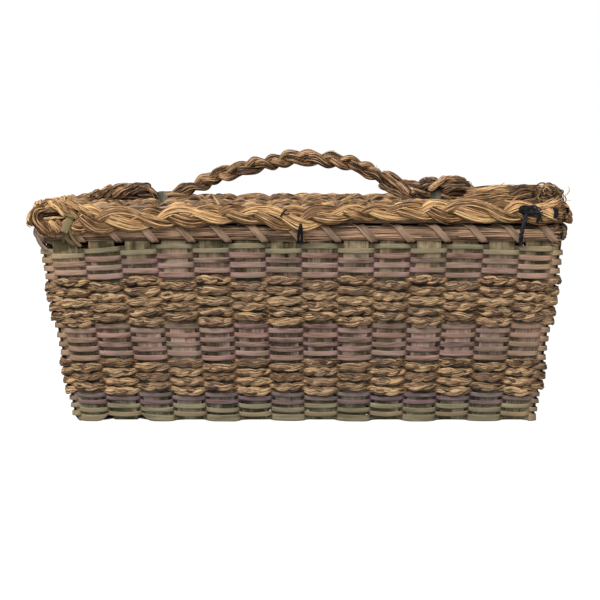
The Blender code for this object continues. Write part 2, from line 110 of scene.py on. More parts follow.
# Weavers: how tall they are beside a row's height, on a stake, between two in front and between two on the
# other walls, and the power of the change between them
SPLINT_TALL = (1.15, 1.12, 1.36, 6)
BRAID_TALL = (1.97, 1.16, 1.52, 3)
SPLINT_THICK = 0.00085
BRAID_THICK = 0.0028
SPLINT_REACH = 0.00150
BRAID_REACH = 0.00225
# Behind a stake a weaver lies this much deeper than it stands out in front of one
DEEPER = 1.5
# It lies less deep this near to a corner of the wall, down to this share
CORNER_PLACES = (0.0, 14.0, 23.0, 37.0, 46.0)
CORNER_NEAR = 0.35
CORNER_SHARE = 0.22
# How squarely a weaver turns in beside a stake, and a splint one of the wall in front of it and behind it
SQUARE = 4
SPLINT_SQUARE = (7, 13)
# Where a splint weaver has its points, from one gap between stakes to the next, and how many a braid has
SPLINT_STEPS = (
    0.0, 0.012, 0.03, 0.055, 0.085, 0.13, 0.22, 0.36, 0.5, 0.64, 0.78, 0.87, 0.915, 0.945, 0.97, 0.988
)
BRAID_STEPS = 12
# The stake at the back that a weaver starts behind, and how far its ends stop short of each other
ROW_START = 30.5
SPLINT_SHORT = 0.02
BRAID_SHORT = 0.03
# How far a weaver sags over a stake, at the rim and at the foot
SAG = (0.0001, 0.0009)
# How weavers wander along their length: waves and their size, in metres or as a share
REACH_WANDER = ((11, 17, 23), 0.07)
HEIGHT_WANDER = ((5, 9, 14, 23, 31), 0.00018)
BRAID_TALL_WANDER = ((13, 29, 37), 0.08)
BRAID_THICK_WANDER = ((11, 19), 0.05)
TWIST_WANDER = ((3, 8, 12), 0.4)
SPLINT_TALL_WANDER = ((7, 15, 27, 39), 0.05)
SPLINT_ROLL = ((12, 21, 33), 0.10)
LID_REACH_WANDER = ((3, 5, 8), 0.07)
LID_SWAY = ((2, 3, 5, 8), 0.0003)
LID_BRAID_WANDER = ((4, 9, 12), 0.07)
LID_SPLINT_WANDER = ((4, 9, 13), 0.05)
# Braided weavers: the period and how much it differs, the wall's mean twist, and the rest of each braid
BRAID_PERIOD = 0.0235
PERIODS = (0.85, 1.2)
WALL_TWIST = -0.3
# The wall braids' cores are darkened to 0.1 as painted shade between their blades
WALL_BRAID = {"blades": 11, "loose": 0.12, "core_shade": 0.1, "full": 1.14}
LID_BRAID = {"blades": 3, "loose": 0.12, "twist": -0.9}
# How far the shades of splint weavers and of stakes spread
WEAVER_SHADES = 0.3
STAKE_SHADES = 0.4

# The camera, from the photograph's frame of 600 by 600 pixels
LENS_PIXELS = 1903.0
FRAME_PIXELS = 600.0
SENSOR = 36.0
CAMERA_AT = np.array((-0.0009, -1.192, 0.168))
CAMERA_TILT = radians(4.96)

# The handle's line in the photograph, from the tail at the left over the arch to the one at the right
HANDLE_PIXELS = (
    (142, 196), (152, 196), (163, 195.5), (172, 193.5), (184, 190.5), (200, 184), (217, 176), (235, 170.5),
    (257, 165), (275, 161.5), (290, 158.4), (303.5, 157.3), (321, 159), (341, 161.5), (355.5, 164.5),
    (370, 171.6), (386, 181), (400, 189.5), (415, 194), (435, 195.5), (452, 196),
)
# Its points' distance, how wide and how flat the braid is, and how far it is turned about its own line
HANDLE_STEP = 0.0011
HANDLE_WIDE = 0.0106
HANDLE_FLATNESS = 0.96
HANDLE_TURN = radians(28)
HANDLE_BRAID = {"period": 0.0358, "blades": 26, "twist": 0.25, "weave": -1.0, "phase": 0.2, "loose": 0.12}
HANDLE_FULL = 0.93
# It narrows inside the knots: places along X, and shares of its width
HANDLE_PLACES = (-0.092, -0.080, -0.072, 0.048, 0.058, 0.080)
HANDLE_SHARES = (0.50, 0.52, 1.0, 1.0, 0.62, 0.52)
# How far its turn and its width wander
HANDLE_TURN_WANDER = ((1, 3, 5), 0.35)
HANDLE_WANDER = ((4, 9), 0.05)

# Painted shade for a bundle's core, which shows in the gaps between its blades: a mild one, a darker one, and
# the darkest, also for strands that lie deep
CORE_SHADE = 0.30
DARK_SHADE = 0.1
DEEP_SHADE = -0.15

# A bundle of blades, beside its size: its core, the ring of blades and how far out each lies
CORE_SHARE = 0.83
RING_SHARE = 0.4
BLADE_PLACES = (0.34, 0.46)
# Blades: how far they overlap, how flat they are, their sizes, and how far off an even place each may lie
OVERLAP = 1.7
BLADE_FLATNESS = 0.45
BLADE_SIZES = (0.55, 1.35)
BLADE_JITTER = (-0.3, 0.3)
# Shares of the bundle's shade and of a blade's own
BLADE_SHADES = (0.55, 0.45)
# A blade wanders round its bundle by up to an angle, less where blades are many, and in and out of it
BLADE_WANDER = 0.16
CROWDED_WANDER = 2.0
BLADE_SWAY = 0.07
# It does so in two waves, as many for each stretch of this length
WANDER_WAVES = (0.7, 1.9)
WANDER_LENGTH = 0.05
# How far the blades of a frayed end spread, and how unevenly
FRAY_REACH = 0.42
FRAY_SHARES = (0.2, 1.5)
# A braid's strand beside the braid, deep and wide, and how much it swells where it comes out
STRAND_SHARES = (0.58, 0.53)
SWELL = 0.14
BRAID_STRAY = 0.00006
# The length over which the lay of a loose braid wanders, how much, and the waves of its strands' swing
LAY_LENGTH = 0.08
LAY_SHARE = 0.6
SWING_WAVES = (3, 7, 13)
# A strand's grain starts anywhere up to here, and the last third of a tip narrows to this share
GRAIN_START = 50
TIP_SHARE = 0.08

rng_names = set()


def random_for(name):
    """A generator of random numbers for one piece, which its name seeds."""
    assert name not in rng_names, name
    rng_names.add(name)
    return np.random.default_rng(crc32(name.encode()))


# Lines and frames
WAVE_SIZES = (0.6, 1.4)


def unit(vectors):
    return vectors / np.linalg.norm(vectors, axis=-1, keepdims=True)


def lengths_along(path):
    """The distance along a path to each of its points."""
    return np.concatenate(([0], np.cumsum(np.linalg.norm(np.diff(path, axis=0), axis=1))))


def curve(points, step):
    """A smooth line through points, with a point about every step."""
    p = np.array(points, float)
    p = np.vstack((2 * p[0] - p[1], p, 2 * p[-1] - p[-2]))
    parts = []
    for a, b, c, d in zip(p, p[1:], p[2:], p[3:]):
        count = max(2, int(np.linalg.norm(c - b) / step))
        t = np.linspace(0, 1, count, endpoint=False)[:, None]
        parts.append(
            0.5 * (2 * b + (c - a) * t + (2 * a - 5 * b + 4 * c - d) * t**2 + (3 * b - a - 3 * c + d) * t**3)
        )
    return np.vstack((*parts, p[-2:-1]))


def sideways(path, facing):
    """Unit vectors across a path and out of it, with out as near facing as it can be."""
    along = unit(np.gradient(path, axis=0))
    across = unit(np.cross(np.broadcast_to(facing, path.shape), along))
    return across, np.cross(along, across)


def drift(rng, t, cycles, size):
    """A slow wander of about size along t from 0 to 1, the same at both ends where cycles are whole."""
    waves = [np.sin(2 * pi * (c * t + rng.random())) * rng.uniform(*WAVE_SIZES) for c in cycles]
    return size * sum(waves) / len(cycles) ** 0.5


def on_plane(pixel, y):
    """The point on the upright plane at y that the photograph shows at a pixel."""
    right = (pixel[0] - FRAME_PIXELS / 2) / LENS_PIXELS
    up = (FRAME_PIXELS / 2 - pixel[1]) / LENS_PIXELS
    forward = cos(CAMERA_TILT) + up * sin(CAMERA_TILT)
    rise = -sin(CAMERA_TILT) + up * cos(CAMERA_TILT)
    return CAMERA_AT + np.array((right, forward, rise)) * (y - CAMERA_AT[1]) / forward


def pixel_size(y):
    """How much of the upright plane at y one pixel of the photograph covers."""
    return (y - CAMERA_AT[1]) / LENS_PIXELS


def oval(count, ridge=0.0):
    """An oval section, with every second point drawn in by ridge."""
    turn = (np.arange(count) + 0.5) * 2 * pi / count
    radius = 1 - ridge * (np.arange(count) % 2)
    return np.stack((np.cos(turn) * radius, np.sin(turn) * radius), 1)


def flat_bar():
    """A flat section with a slight crown and tight edges."""
    top = [(0.97, 0.45), (0.90, 0.90), (0.45, 1.0), (-0.45, 1.0), (-0.90, 0.90), (-0.97, 0.45)]
    return np.array(top + [(-x, -y) for x, y in top])


def at_each(path, across, out, width, depth):
    """Directions and sizes that hold for a whole path or point by point, as one value for each point."""
    across, out = np.broadcast_to(across, path.shape), np.broadcast_to(out, path.shape)
    return across, out, np.broadcast_to(width, len(path)), np.broadcast_to(depth, len(path))


STRIP = flat_bar()
BLADE = np.array([(1.0, -0.4), (0.5, 0.9), (-0.5, 0.9), (-1.0, -0.4)])
RIDGED = oval(10, 0.16)
ROUND = oval(6)
RIGHTWARDS = np.array((1.0, 0.0, 0.0))
BACKWARDS = np.array((0.0, 1.0, 0.0))
FORWARDS = -BACKWARDS
UP = np.array((0.0, 0.0, 1.0))


def link_object(name, data):
    made = bpy.data.objects.new(name, data)
    bpy.context.scene.collection.objects.link(made)
    return made


class Strands:
    """Gathers strips and strands, and makes one piece of them."""

    def __init__(self, name):
        self.name = name
        self.rng = random_for(name)
        self.points, self.grain, self.strand, self.quads, self.fans = [], [], [], [], []
        self.count = 0

    def add(self, path, across, out, width, depth, section=STRIP, shade=None, tip=False):
        """Sweep a section along a path, width and depth in full; a tip draws the far end to a point."""
        n, m = len(path), len(section)
        across, out, width, depth = at_each(path, across, out, width, depth)
        width, depth = width / 2, depth / 2
        if tip:
            narrow = np.clip(np.linspace(1, 0, n) * 3, TIP_SHARE, 1)
            width, depth = width * narrow, depth * narrow
        x = section[:, 0] * width[:, None]
        y = section[:, 1] * depth[:, None]
        ring = path[:, None] + across[:, None] * x[..., None] + out[:, None] * y[..., None]
        along = lengths_along(path) + self.rng.uniform(0, GRAIN_START)
        grain = np.stack((np.broadcast_to(along[:, None], (n, m)), x, y), -1)
        self.points += [ring.reshape(-1, 3), path[[0, -1]]]
        self.grain += [grain.reshape(-1, 3), np.array(((along[0], 0, 0), (along[-1], 0, 0)))]
        shade = self.rng.random() if shade is None else shade
        self.strand.append(np.full(n * m + 2, shade))
        here, following = np.arange(m), (np.arange(m) + 1) % m
        start = self.count + np.arange(n - 1)[:, None] * m
        quads = np.stack((start + here, start + following, start + m + following, start + m + here), -1)
        self.quads.append(quads.reshape(-1, 4))
        first = self.count + n * m
        base = first - m
        self.fans.append(np.stack((self.count + following, self.count + here, np.full(m, first)), -1))
        self.fans.append(np.stack((base + here, base + following, np.full(m, first + 1)), -1))
        self.count += n * m + 2

    def sheaf(
        self, path, across, out, width, depth, blades, shade=None, spread=0.0, uneven=0.0, stray=0.0,
        core_shade=CORE_SHADE,
    ):
        """A bundle of grass blades laid round a core; at the far end they may spread and stop unevenly."""
        n = len(path)
        t = np.linspace(0, 1, n)
        across, out, width, depth = at_each(path, across, out, width, depth)
        shade = self.rng.random() if shade is None else shade
        core = slice(n - int(n * uneven))
        thick = (width[core] * CORE_SHARE, depth[core] * CORE_SHARE)
        # The core is drawn no lighter than core_shade, as painted shade in the gaps between the blades
        self.add(path[core], across[core], out[core], *thick, ROUND, min(shade, core_shade))
        size = OVERLAP * pi * RING_SHARE * (width + depth) / blades
        wander = min(BLADE_WANDER, CROWDED_WANDER / blades)
        long = max(1.0, lengths_along(path)[-1] / WANDER_LENGTH)
        cycles = [wave * long for wave in WANDER_WAVES]
        for k in range(blades):
            angle = 2 * pi * (k + self.rng.uniform(*BLADE_JITTER)) / blades
            angle = angle + drift(self.rng, t, cycles, wander)
            grow = self.rng.uniform(*BLADE_PLACES) * (1 + drift(self.rng, t, cycles, BLADE_SWAY))
            grow = grow + FRAY_REACH * spread * t**3 * self.rng.uniform(*FRAY_SHARES)
            x, y = np.cos(angle), np.sin(angle)
            aside = width * grow * x + drift(self.rng, t, cycles, stray)
            middle = path + across * aside[:, None] + out * (depth * grow * y)[:, None]
            facing = unit(np.stack((x * depth, y * width), -1))
            blade_out = across * facing[:, :1] + out * facing[:, 1:]
            blade_across = across * facing[:, 1:] - out * facing[:, :1]
            stop = slice(n - int(n * uneven * self.rng.random()))
            own = (size * self.rng.uniform(*BLADE_SIZES))[stop]
            tone = shade * BLADE_SHADES[0] + self.rng.random() * BLADE_SHADES[1]
            directions = (blade_across[stop], blade_out[stop])
            self.add(middle[stop], *directions, own, own * BLADE_FLATNESS, BLADE, tone, tip=uneven > 0)

    def braid(
        self, path, across, out, width, depth, period, blades=1, twist=0.0, weave=1.0, phase=0.0, loose=0.0,
        which=(0, 1, 2), core_shade=CORE_SHADE, full=1.0,
    ):
        """Three strands wound along a path: twist lays them like a rope, and weave plaits them."""
        s = lengths_along(path)
        across, out, width, depth = at_each(path, across, out, width, depth)
        thick, tall = depth * STRAND_SHARES[0] * full, width * STRAND_SHARES[1] * full
        norm = (np.square(twist) + np.square(weave)) ** 0.5
        even = max(1, int(s[-1] / LAY_LENGTH))
        waves = (even, 2 * even + 1)
        lay = s / period + drift(np.random.default_rng(even), s / s[-1], waves, LAY_SHARE * loose)
        for j in which:
            turn = 2 * pi * (lay + j / 3 + phase)
            swing = 1 + loose * drift(self.rng, s / s[-1], SWING_WAVES, 1)
            rise = (twist * np.sin(turn) + weave * np.sin(2 * turn)) / norm
            middle = (
                path
                + across * ((width - tall) / 2 * swing * np.cos(turn))[:, None]
                + out * ((depth - thick) / 2 * rise)[:, None]
            )
            if blades == 1:
                self.add(middle, across, out, tall, thick, RIDGED)
            else:
                size = (tall * (1 + SWELL * rise), thick * (1 + SWELL * rise))
                self.sheaf(middle, across, out, *size, blades, stray=BRAID_STRAY, core_shade=core_shade)

    def piece(self, slot, body, *nodes, look=None):
        """Make the mesh and its object, which rides on a body and stands for nodes."""
        mesh = bpy.data.meshes.new(self.name)
        points = np.concatenate(self.points)
        quads, fans = np.concatenate(self.quads), np.concatenate(self.fans)
        corners = np.concatenate((quads.ravel(), fans.ravel()))
        starts = np.concatenate((np.arange(len(quads)) * 4, quads.size + np.arange(len(fans)) * 3))
        mesh.vertices.add(len(points))
        mesh.vertices.foreach_set("co", points.ravel())
        mesh.loops.add(len(corners))
        mesh.loops.foreach_set("vertex_index", corners)
        mesh.polygons.add(len(starts))
        mesh.polygons.foreach_set("loop_start", starts)
        mesh.update(calc_edges=True)
        smooth = np.concatenate((np.ones(len(quads), bool), np.zeros(len(fans), bool)))
        mesh.polygons.foreach_set("use_smooth", smooth)
        grain = mesh.attributes.new("grain", "FLOAT_VECTOR", "POINT")
        grain.data.foreach_set("vector", np.concatenate(self.grain).ravel())
        strand = mesh.attributes.new("strand", "FLOAT", "POINT")
        strand.data.foreach_set("value", np.concatenate(self.strand))
        mesh.materials.append(materials[look or slot])
        made = link_object(self.name, mesh)
        if body:
            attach(made, body)
        if nodes:
            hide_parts(*nodes)
        return made


# Materials
def linear(colour):
    """A colour written as sRGB from 0 to 255, as a shader takes it."""
    shares = [c / 255 for c in colour]
    return [s / 12.92 if s <= 0.04045 else ((s + 0.055) / 1.055) ** 2.4 for s in shares] + [1]


class Graph:
    """Adds nodes to a material or a world and links them."""

    def __init__(self, owner, shader="Principled BSDF"):
        owner.use_nodes = True
        self.tree = owner.node_tree
        self.inputs = self.tree.nodes[shader].inputs

    def add(self, kind, inputs=None, output=0, **settings):
        """A node of one kind; an input given as a socket is linked, and any other is set."""
        node = self.tree.nodes.new("ShaderNode" + kind)
        for name, value in settings.items():
            setattr(node, name, value)
        for name, value in (inputs or {}).items():
            self.put(node.inputs[name], value)
        return node.outputs[output]

    def put(self, socket, value):
        if isinstance(value, bpy.types.NodeSocket):
            self.tree.links.new(value, socket)
        else:
            socket.default_value = value

    def maths(self, operation, a, b=0):
        return self.add("Math", {0: a, 1: b}, operation=operation)

    def stretch(self, vector, by):
        return self.add("VectorMath", {0: vector, 1: by}, operation="MULTIPLY")

    def noise(self, place, scale, detail, roughness=0.5):
        inputs = {"Vector": place, "Scale": scale, "Detail": detail, "Roughness": roughness}
        return self.add("TexNoise", inputs)

    def rise(self, value, low, high, top=1.0):
        """From 0 where a value is low, or less, to top where it is high, or more."""
        return self.add("MapRange", {"Value": value, "From Min": low, "From Max": high, "To Max": top})

    def mix(self, factor, a, b, blend="MIX"):
        return self.add("Mix", {0: factor, 6: a, 7: b}, output=2, data_type="RGBA", blend_type=blend)

    def tint(self, colour, by, factor=1.0):
        """A colour multiplied by another, where the factor says."""
        return self.mix(factor, colour, self.mix(1.0, colour, by, "MULTIPLY"))

    def ramp(self, factor, stops):
        node = self.tree.nodes.new("ShaderNodeValToRGB")
        elements = node.color_ramp.elements
        while len(elements) < len(stops):
            elements.new(0.5)
        for element, (place, colour) in zip(elements, stops):
            element.position = place
            element.color = linear(colour)
        self.tree.links.new(factor, node.inputs["Fac"])
        return node.outputs["Color"]


# Streaks to the metre along a strand, blotches to the metre across it, and both their shares of the tone
STREAKS = 110
BLOTCHES = 300
TONE_SHARES = (0.6, 0.4)
# How much a strand's own shade counts
SHADE_SHARE = 0.42
# The deepest tone beside the dark one, and where the four tones lie either side of the middle
DEEP_SHARE = 0.45
TONE_PLACES = (-0.32, -0.17, 0.0, 0.18)
# Noise by place, with its waves to the metre: how far the height of a tint wanders, patches on the stakes,
# and stains
TINT_SCALE = 120
TINT_WANDER = 0.012
PATCH_SCALE = 75
PATCH_RANGE = (0.47, 0.58)
STAIN_SCALE = 42
STAIN_RANGE = (0.46, 0.70)
# Each strand has a random number from 0 to 1: it is reddened above the first, and up to the last share at 1
RED_RANGE = (0.45, 1.0, 0.55)
# How far from the middle along X the wall starts to be worn, and is worn fully
WORN_RANGE = (0.112, 0.152)
# How far the streaks change the roughness, how high they stand, and how little the fibre shines
ROUGHNESS_SPREAD = 0.12
BUMP_HEIGHT = 0.0004
SPECULAR = 0.14


def plant_material(
    name, dark, middle, light, fibre, patch, roughness, bump, stain=None, amount=0.7, worn=0.0, tints=None,
    crisp=1.0,
):
    """Dried plant fibre: fine streaks along the grain, blotches, and a shade of its own for each strand."""
    material = bpy.data.materials.new(name)
    graph = Graph(material)
    grain = graph.add("Attribute", attribute_name="grain", output=1)
    strand = graph.add("Attribute", attribute_name="strand", output=2)
    streak = graph.noise(graph.stretch(grain, (STREAKS, 1 / fibre, 1 / fibre)), 1, 3, 0.65)
    blotch = graph.noise(graph.stretch(grain, (1 / patch, BLOTCHES, BLOTCHES)), 1, 2)
    shade = graph.maths("MULTIPLY", graph.maths("SUBTRACT", strand, 0.5), SHADE_SHARE)
    parts = [graph.maths("MULTIPLY", part, share) for part, share in zip((streak, blotch), TONE_SHARES)]
    factor = graph.maths("ADD", graph.maths("ADD", *parts), shade)
    tones = ([c * DEEP_SHARE for c in dark], dark, middle, light)
    colour = graph.ramp(factor, [(0.5 + stop / crisp, tone) for stop, tone in zip(TONE_PLACES, tones)])
    place = graph.add("TexCoord", output="Object")
    # The stakes' tints by height: dye, with painted shade in the braided bands and painted light near the rim
    if tints:
        wander = graph.maths("SUBTRACT", graph.noise(place, TINT_SCALE, 2), 0.5)
        height = graph.add("SeparateXYZ", {0: place}, output="Z")
        height = graph.maths("ADD", height, graph.maths("MULTIPLY", wander, TINT_WANDER))
        height = graph.maths("DIVIDE", height, TINT_HEIGHT)
        tint = graph.ramp(height, [(level / TINT_HEIGHT, tone) for level, tone in tints])
        colour = graph.mix(1.0, colour, tint, "MULTIPLY")
        patch = graph.rise(graph.noise(place, PATCH_SCALE, 2), *PATCH_RANGE)
        colour = graph.tint(colour, linear(STAKE_PATCH), patch)
    if stain:
        cloud = graph.rise(graph.noise(place, STAIN_SCALE, 4, 0.65), *STAIN_RANGE, amount)
        colour = graph.mix(cloud, colour, linear(stain))
        own = graph.add("TexWhiteNoise", {"W": strand}, noise_dimensions="1D")
        colour = graph.tint(colour, linear(REDDENING), graph.rise(own, *RED_RANGE))
    if worn:
        side = graph.maths("ABSOLUTE", graph.add("SeparateXYZ", {0: place}, output="X"))
        colour = graph.mix(graph.rise(side, *WORN_RANGE, worn), colour, linear(WORN_TAN))
    graph.put(graph.inputs["Base Color"], colour)
    ends = {"To Min": roughness - ROUGHNESS_SPREAD, "To Max": roughness + ROUGHNESS_SPREAD}
    graph.put(graph.inputs["Roughness"], graph.add("MapRange", {"Value": streak, **ends}))
    height = graph.add("Bump", {"Height": streak, "Strength": bump, "Distance": BUMP_HEIGHT})
    graph.put(graph.inputs["Normal"], height)
    graph.put(graph.inputs["Specular IOR Level"], SPECULAR)
    return material


# Some strands are redder than the rest, and the wall's ends are worn to a tan
REDDENING = (238, 205, 190)
WORN_TAN = (168, 140, 104)

# The stakes took up the dye of the weavers that they touch. In the braided bands the tone (92, 92, 80) is
# painted shade, and the tones at 0.104 and 0.122 are partly dye and partly painted light against the rim's
# shadow: height, tone
TINT_HEIGHT = 0.16
STAKE_TINTS = (
    (0.006, (152, 148, 122)), (0.014, (150, 140, 132)), (0.022, (92, 92, 80)), (0.036, (92, 92, 80)),
    (0.044, (196, 168, 158)), (0.056, (200, 172, 162)), (0.062, (92, 92, 80)), (0.084, (92, 92, 80)),
    (0.090, (180, 158, 140)), (0.098, (180, 160, 134)), (0.104, (164, 150, 120)), (0.122, (176, 154, 124)),
)
# The tone of the patches on them
STAKE_PATCH = (148, 150, 132)

# Name: dark, middle and light tones, then the sizes of fibres and patches, roughness, bump, stain, its amount
# and the wear
PLANT_MATERIALS = {
    "green_splint": ((74, 69, 53), (111, 102, 80), (126, 118, 94),
        0.0006, 0.02, 0.66, 0.6, (104, 90, 74), 0.6, 0.40),
    "rose_splint": ((72, 55, 50), (118, 94, 85), (138, 115, 106),
        0.0006, 0.02, 0.66, 0.6, (106, 98, 76), 0.7, 0.40),
    "purple_splint": ((60, 48, 50), (92, 74, 76), (112, 95, 95),
        0.0006, 0.02, 0.66, 0.6, (96, 90, 72), 0.7, 0.30),
    "wall_braid": ((52, 37, 27), (110, 87, 64), (172, 143, 106),
        0.0005, 0.006, 0.60, 0.8, (102, 84, 70), 0.6),
    "lid_braid": ((60, 44, 30), (122, 94, 66), (178, 146, 104),
        0.0005, 0.006, 0.60, 0.8, (100, 80, 62), 0.6),
    "lid_splint": ((74, 58, 50), (114, 94, 82), (142, 120, 104),
        0.0006, 0.02, 0.66, 0.6, (100, 88, 70), 0.6),
    "rim_sweetgrass": ((94, 71, 57), (138, 110, 86), (178, 147, 117),
        0.0005, 0.02, 0.60, 0.8, (90, 76, 62), 0.7),
    "rim_splint": ((60, 49, 40), (108, 91, 75), (142, 121, 100),
        0.0005, 0.02, 0.70, 0.6, (92, 80, 66), 0.7),
    "border_plait": ((62, 39, 23), (150, 116, 77), (206, 170, 120),
        0.0005, 0.012, 0.55, 0.8, (112, 84, 60), 0.7),
    "handle_braid": ((27, 18, 12), (82, 61, 46), (178, 144, 106),
        0.0005, 0.010, 0.58, 0.8, (62, 46, 36), 0.7),
    "loop_splint": ((46, 45, 38), (72, 71, 60), (94, 93, 80),
        0.0005, 0.02, 0.72, 0.5, (58, 52, 42), 0.6),
    "tie_splint": ((60, 53, 36), (92, 83, 57), (120, 110, 78),
        0.0005, 0.02, 0.70, 0.6, (100, 88, 60), 0.6),
    "black_thread": ((12, 12, 14), (24, 25, 28), (48, 48, 52),
        0.0003, 0.004, 0.80, 0.8, (18, 18, 22), 0.5),
}

# The same for the stakes, which have tints and no stain
STAKE_MATERIAL = ((134, 130, 122), (192, 188, 180), (240, 234, 224), 0.0006, 0.02, 0.7, 0.6)

# How much sharper than the rest the light and dark streaks are
CRISP = {
    "handle_braid": 1.6, "border_plait": 1.7, "rim_sweetgrass": 1.3, "rim_splint": 1.5,
    "wall_braid": 1.4, "lid_braid": 1.2, "rose_splint": 1.3, "purple_splint": 1.3,
}


def make_materials():
    made = {}
    for name, settings in PLANT_MATERIALS.items():
        made[name] = plant_material(name, *settings, crisp=CRISP.get(name, 1.0))
    made["stake_splint"] = plant_material("stake_splint", *STAKE_MATERIAL, tints=STAKE_TINTS)
    return made


# The wall
def plan(level, u):
    """The wall's outline at the foot, level 0, or at the rim, level 1, and the way it faces.

    u counts stakes: it is 0 at the front left corner, grows anticlockwise and is a half in a stake's middle.
    """
    length, depth, radius = HALF_LENGTH[level], HALF_DEPTH[level], CORNER[level]
    bend = pi * radius / 2
    runs = np.array((2 * (length - radius) + bend, 2 * (depth - radius) + bend) * 2)
    shift = GAP_SHIFT[level]
    marks_u, marks_s = [0.0], [shift]
    start_u, start_s = 0, 0.0
    for count, pitch, run in zip(
        (CROSS_STAKES, LONG_STAKES) * 2, (CROSS_PITCH[level], LONG_PITCH[level]) * 2, runs
    ):
        shift = -shift
        marks_u += [start_u + 0.5 + k for k in range(count)] + [start_u + count]
        marks_s += [start_s + run / 2 + (k - (count - 1) / 2) * pitch for k in range(count)]
        start_u, start_s = start_u + count, start_s + run
        marks_s.append(start_s + shift)
    s = np.interp(np.mod(u, TURN), marks_u, marks_s) % sum(runs)
    ends = np.cumsum(runs)
    side = np.minimum(np.searchsorted(ends, s, side="right"), 3)
    t = s - ends[side] + runs[side] / 2
    angle = (side - 1) * pi / 2
    normal = np.stack((np.cos(angle), np.sin(angle)), -1)
    tangent = np.stack((-normal[:, 1], normal[:, 0]), -1)
    half = np.array((length, depth) * 2)[side] - radius
    out = np.array((depth, length) * 2)[side] - radius
    over = np.maximum(np.abs(t) - half, 0) / radius * np.sign(t)
    facing = normal * np.cos(over)[:, None] + tangent * np.sin(over)[:, None]
    corner = normal * out[:, None] + tangent * np.clip(t, -half, half)[:, None]
    return corner + facing * radius, facing


def wall(u, offset, z):
    """Points of the wall at places u, moved out by offset, at heights z, and the way the wall faces there."""
    u, offset, z = np.broadcast_arrays(np.asarray(u, float), offset, z)
    share = (np.minimum(z, TAPER_TOP) / TAPER_TOP)[:, None]
    foot, foot_facing = plan(0, u)
    rim, rim_facing = plan(1, u)
    facing = unit(foot_facing + (rim_facing - foot_facing) * share)
    place = foot + (rim - foot) * share + facing * offset[:, None]
    place[:, 0] += FOOT_SHIFT * (1 - share[:, 0])
    level = np.zeros((len(u), 1))
    return np.hstack((place, z[:, None])), np.hstack((facing, level))


def weave(u, row):
    """Which side of the stakes a row lies on at u, 1 or -1, and how far from the stake's middle, 0 to 1."""
    cell = np.floor(u)
    return np.where((cell + row) % 2 == 1, 1.0, -1.0), 2 * np.abs(u - cell - 0.5)


def height_of(sizes, pitch, e, u):
    """How tall a weaver is, e of the way from a stake's middle to the gap beside it.

    The other walls are packed a little closer than the front, so no light shows through two of them.
    """
    on_stake, in_front, elsewhere, power = sizes
    between = np.where(u % TURN > CROSS_STAKES, elsewhere, in_front)
    return pitch * (on_stake + (between - on_stake) * e**power)


def depth_behind(u):
    """How much deeper a weaver lies behind the stakes at u than it stands out in front of them."""
    far = np.min([np.abs(u % TURN - corner) for corner in CORNER_PLACES], axis=0)
    return DEEPER * np.clip(far / CORNER_NEAR, CORNER_SHARE, 1)


def own_shade(rng, spread):
    """A shade somewhere about a half."""
    return 0.5 + spread * (rng.random() - 0.5)


def build_row(name, node, row, z, pitch, slot, last):
    """One weaver round the wall, from behind a stake at the back to behind the same stake."""
    strands = Strands(name)
    rng = strands.rng
    braided = slot == "wall_braid"
    start = ROW_START + row % 2
    if braided:
        u = start + np.linspace(BRAID_SHORT, TURN - BRAID_SHORT, TURN * BRAID_STEPS)
    else:
        u = (np.arange(TURN + 1)[:, None] + SPLINT_STEPS).ravel() - 0.5
        u = start + u[(u > SPLINT_SHORT) & (u < TURN - SPLINT_SHORT)]
    side, e = weave(u, row)
    t = (u - start) / TURN
    reach = BRAID_REACH if braided else SPLINT_REACH
    uneven = 1 + drift(rng, t, *REACH_WANDER)
    depth = np.where(side > 0, 1.0, depth_behind(u))
    square = SQUARE if braided else np.where(side > 0, *SPLINT_SQUARE)
    offset = -STAKE_THICKNESS / 2 + side * depth * reach * (1 - e**square) * uneven
    sag = np.interp(z, (0, WEFT_TOP), SAG[::-1]) * (FOOT_ROW[2] if last else 1)
    height = z + drift(rng, t, *HEIGHT_WANDER) - sag * (1 - e**2) * side
    drop = np.interp(z, END_DROP_HEIGHTS, END_DROPS)
    height = height - drop * np.interp(u, END_DROP_PLACES, END_DROP_SHARES, period=TURN)
    taller = np.full(len(u), FOOT_ROW[1] if last else 1.0)
    rise, left, wide = FOOT_NOTCH
    for notch in FOOT_NOTCHES if last else ():
        near = np.exp(-(((u % TURN - notch) / wide) ** 2))
        height = height + rise * near
        taller = taller * (1 - (1 - left) * near)
    path, facing = wall(u, offset, height)
    if braided:
        tall = height_of(BRAID_TALL, pitch, e, u) * (1 + drift(rng, t, *BRAID_TALL_WANDER))
        thick = BRAID_THICK * (1 + drift(rng, t, *BRAID_THICK_WANDER))
        period = BRAID_PERIOD * rng.uniform(*PERIODS)
        twist = WALL_TWIST + drift(rng, t, *TWIST_WANDER)
        strands.braid(path, UP, facing, tall, thick, period, twist=twist, phase=rng.random(), **WALL_BRAID)
    else:
        tall = taller * height_of(SPLINT_TALL, pitch, e, u) * (1 + drift(rng, t, *SPLINT_TALL_WANDER))
        roll = drift(rng, t, *SPLINT_ROLL)[:, None]
        across, out = unit(UP + facing * roll), unit(facing - UP * roll)
        strands.add(path, across, out, tall, SPLINT_THICK, STRIP, own_shade(rng, WEAVER_SHADES))
    strands.piece(slot, "basket", node)


def build_wall():
    row = 0
    top = WEFT_TOP
    for node, rows, height, slot in WALL_BANDS:
        for k in range(rows):
            z = top - (k + 0.5) * height
            last = node == WALL_BANDS[-1][0] and k == rows - 1
            build_row(f"{node}_row_{k + 1}", node, row, z + FOOT_ROW[0] * last, height, slot, last)
            row += 1
        top -= rows * height


# Stakes: points down a wall and to each crossing in the base, and how far their ends stop below the rim's top
STAKE_POINTS = 32
CROSSING_POINTS = 6
STAKE_SHORT = 0.0006
# At the foot they bend in from this height, by this much, to the base's level, where they wave up and down
BEND_HEIGHT = 0.0030
BEND_INSET = 0.0012
BASE_LEVEL = 0.0013
BASE_WAVE = 0.0006
STAKE_WANDER = ((3, 7, 13), 0.025)
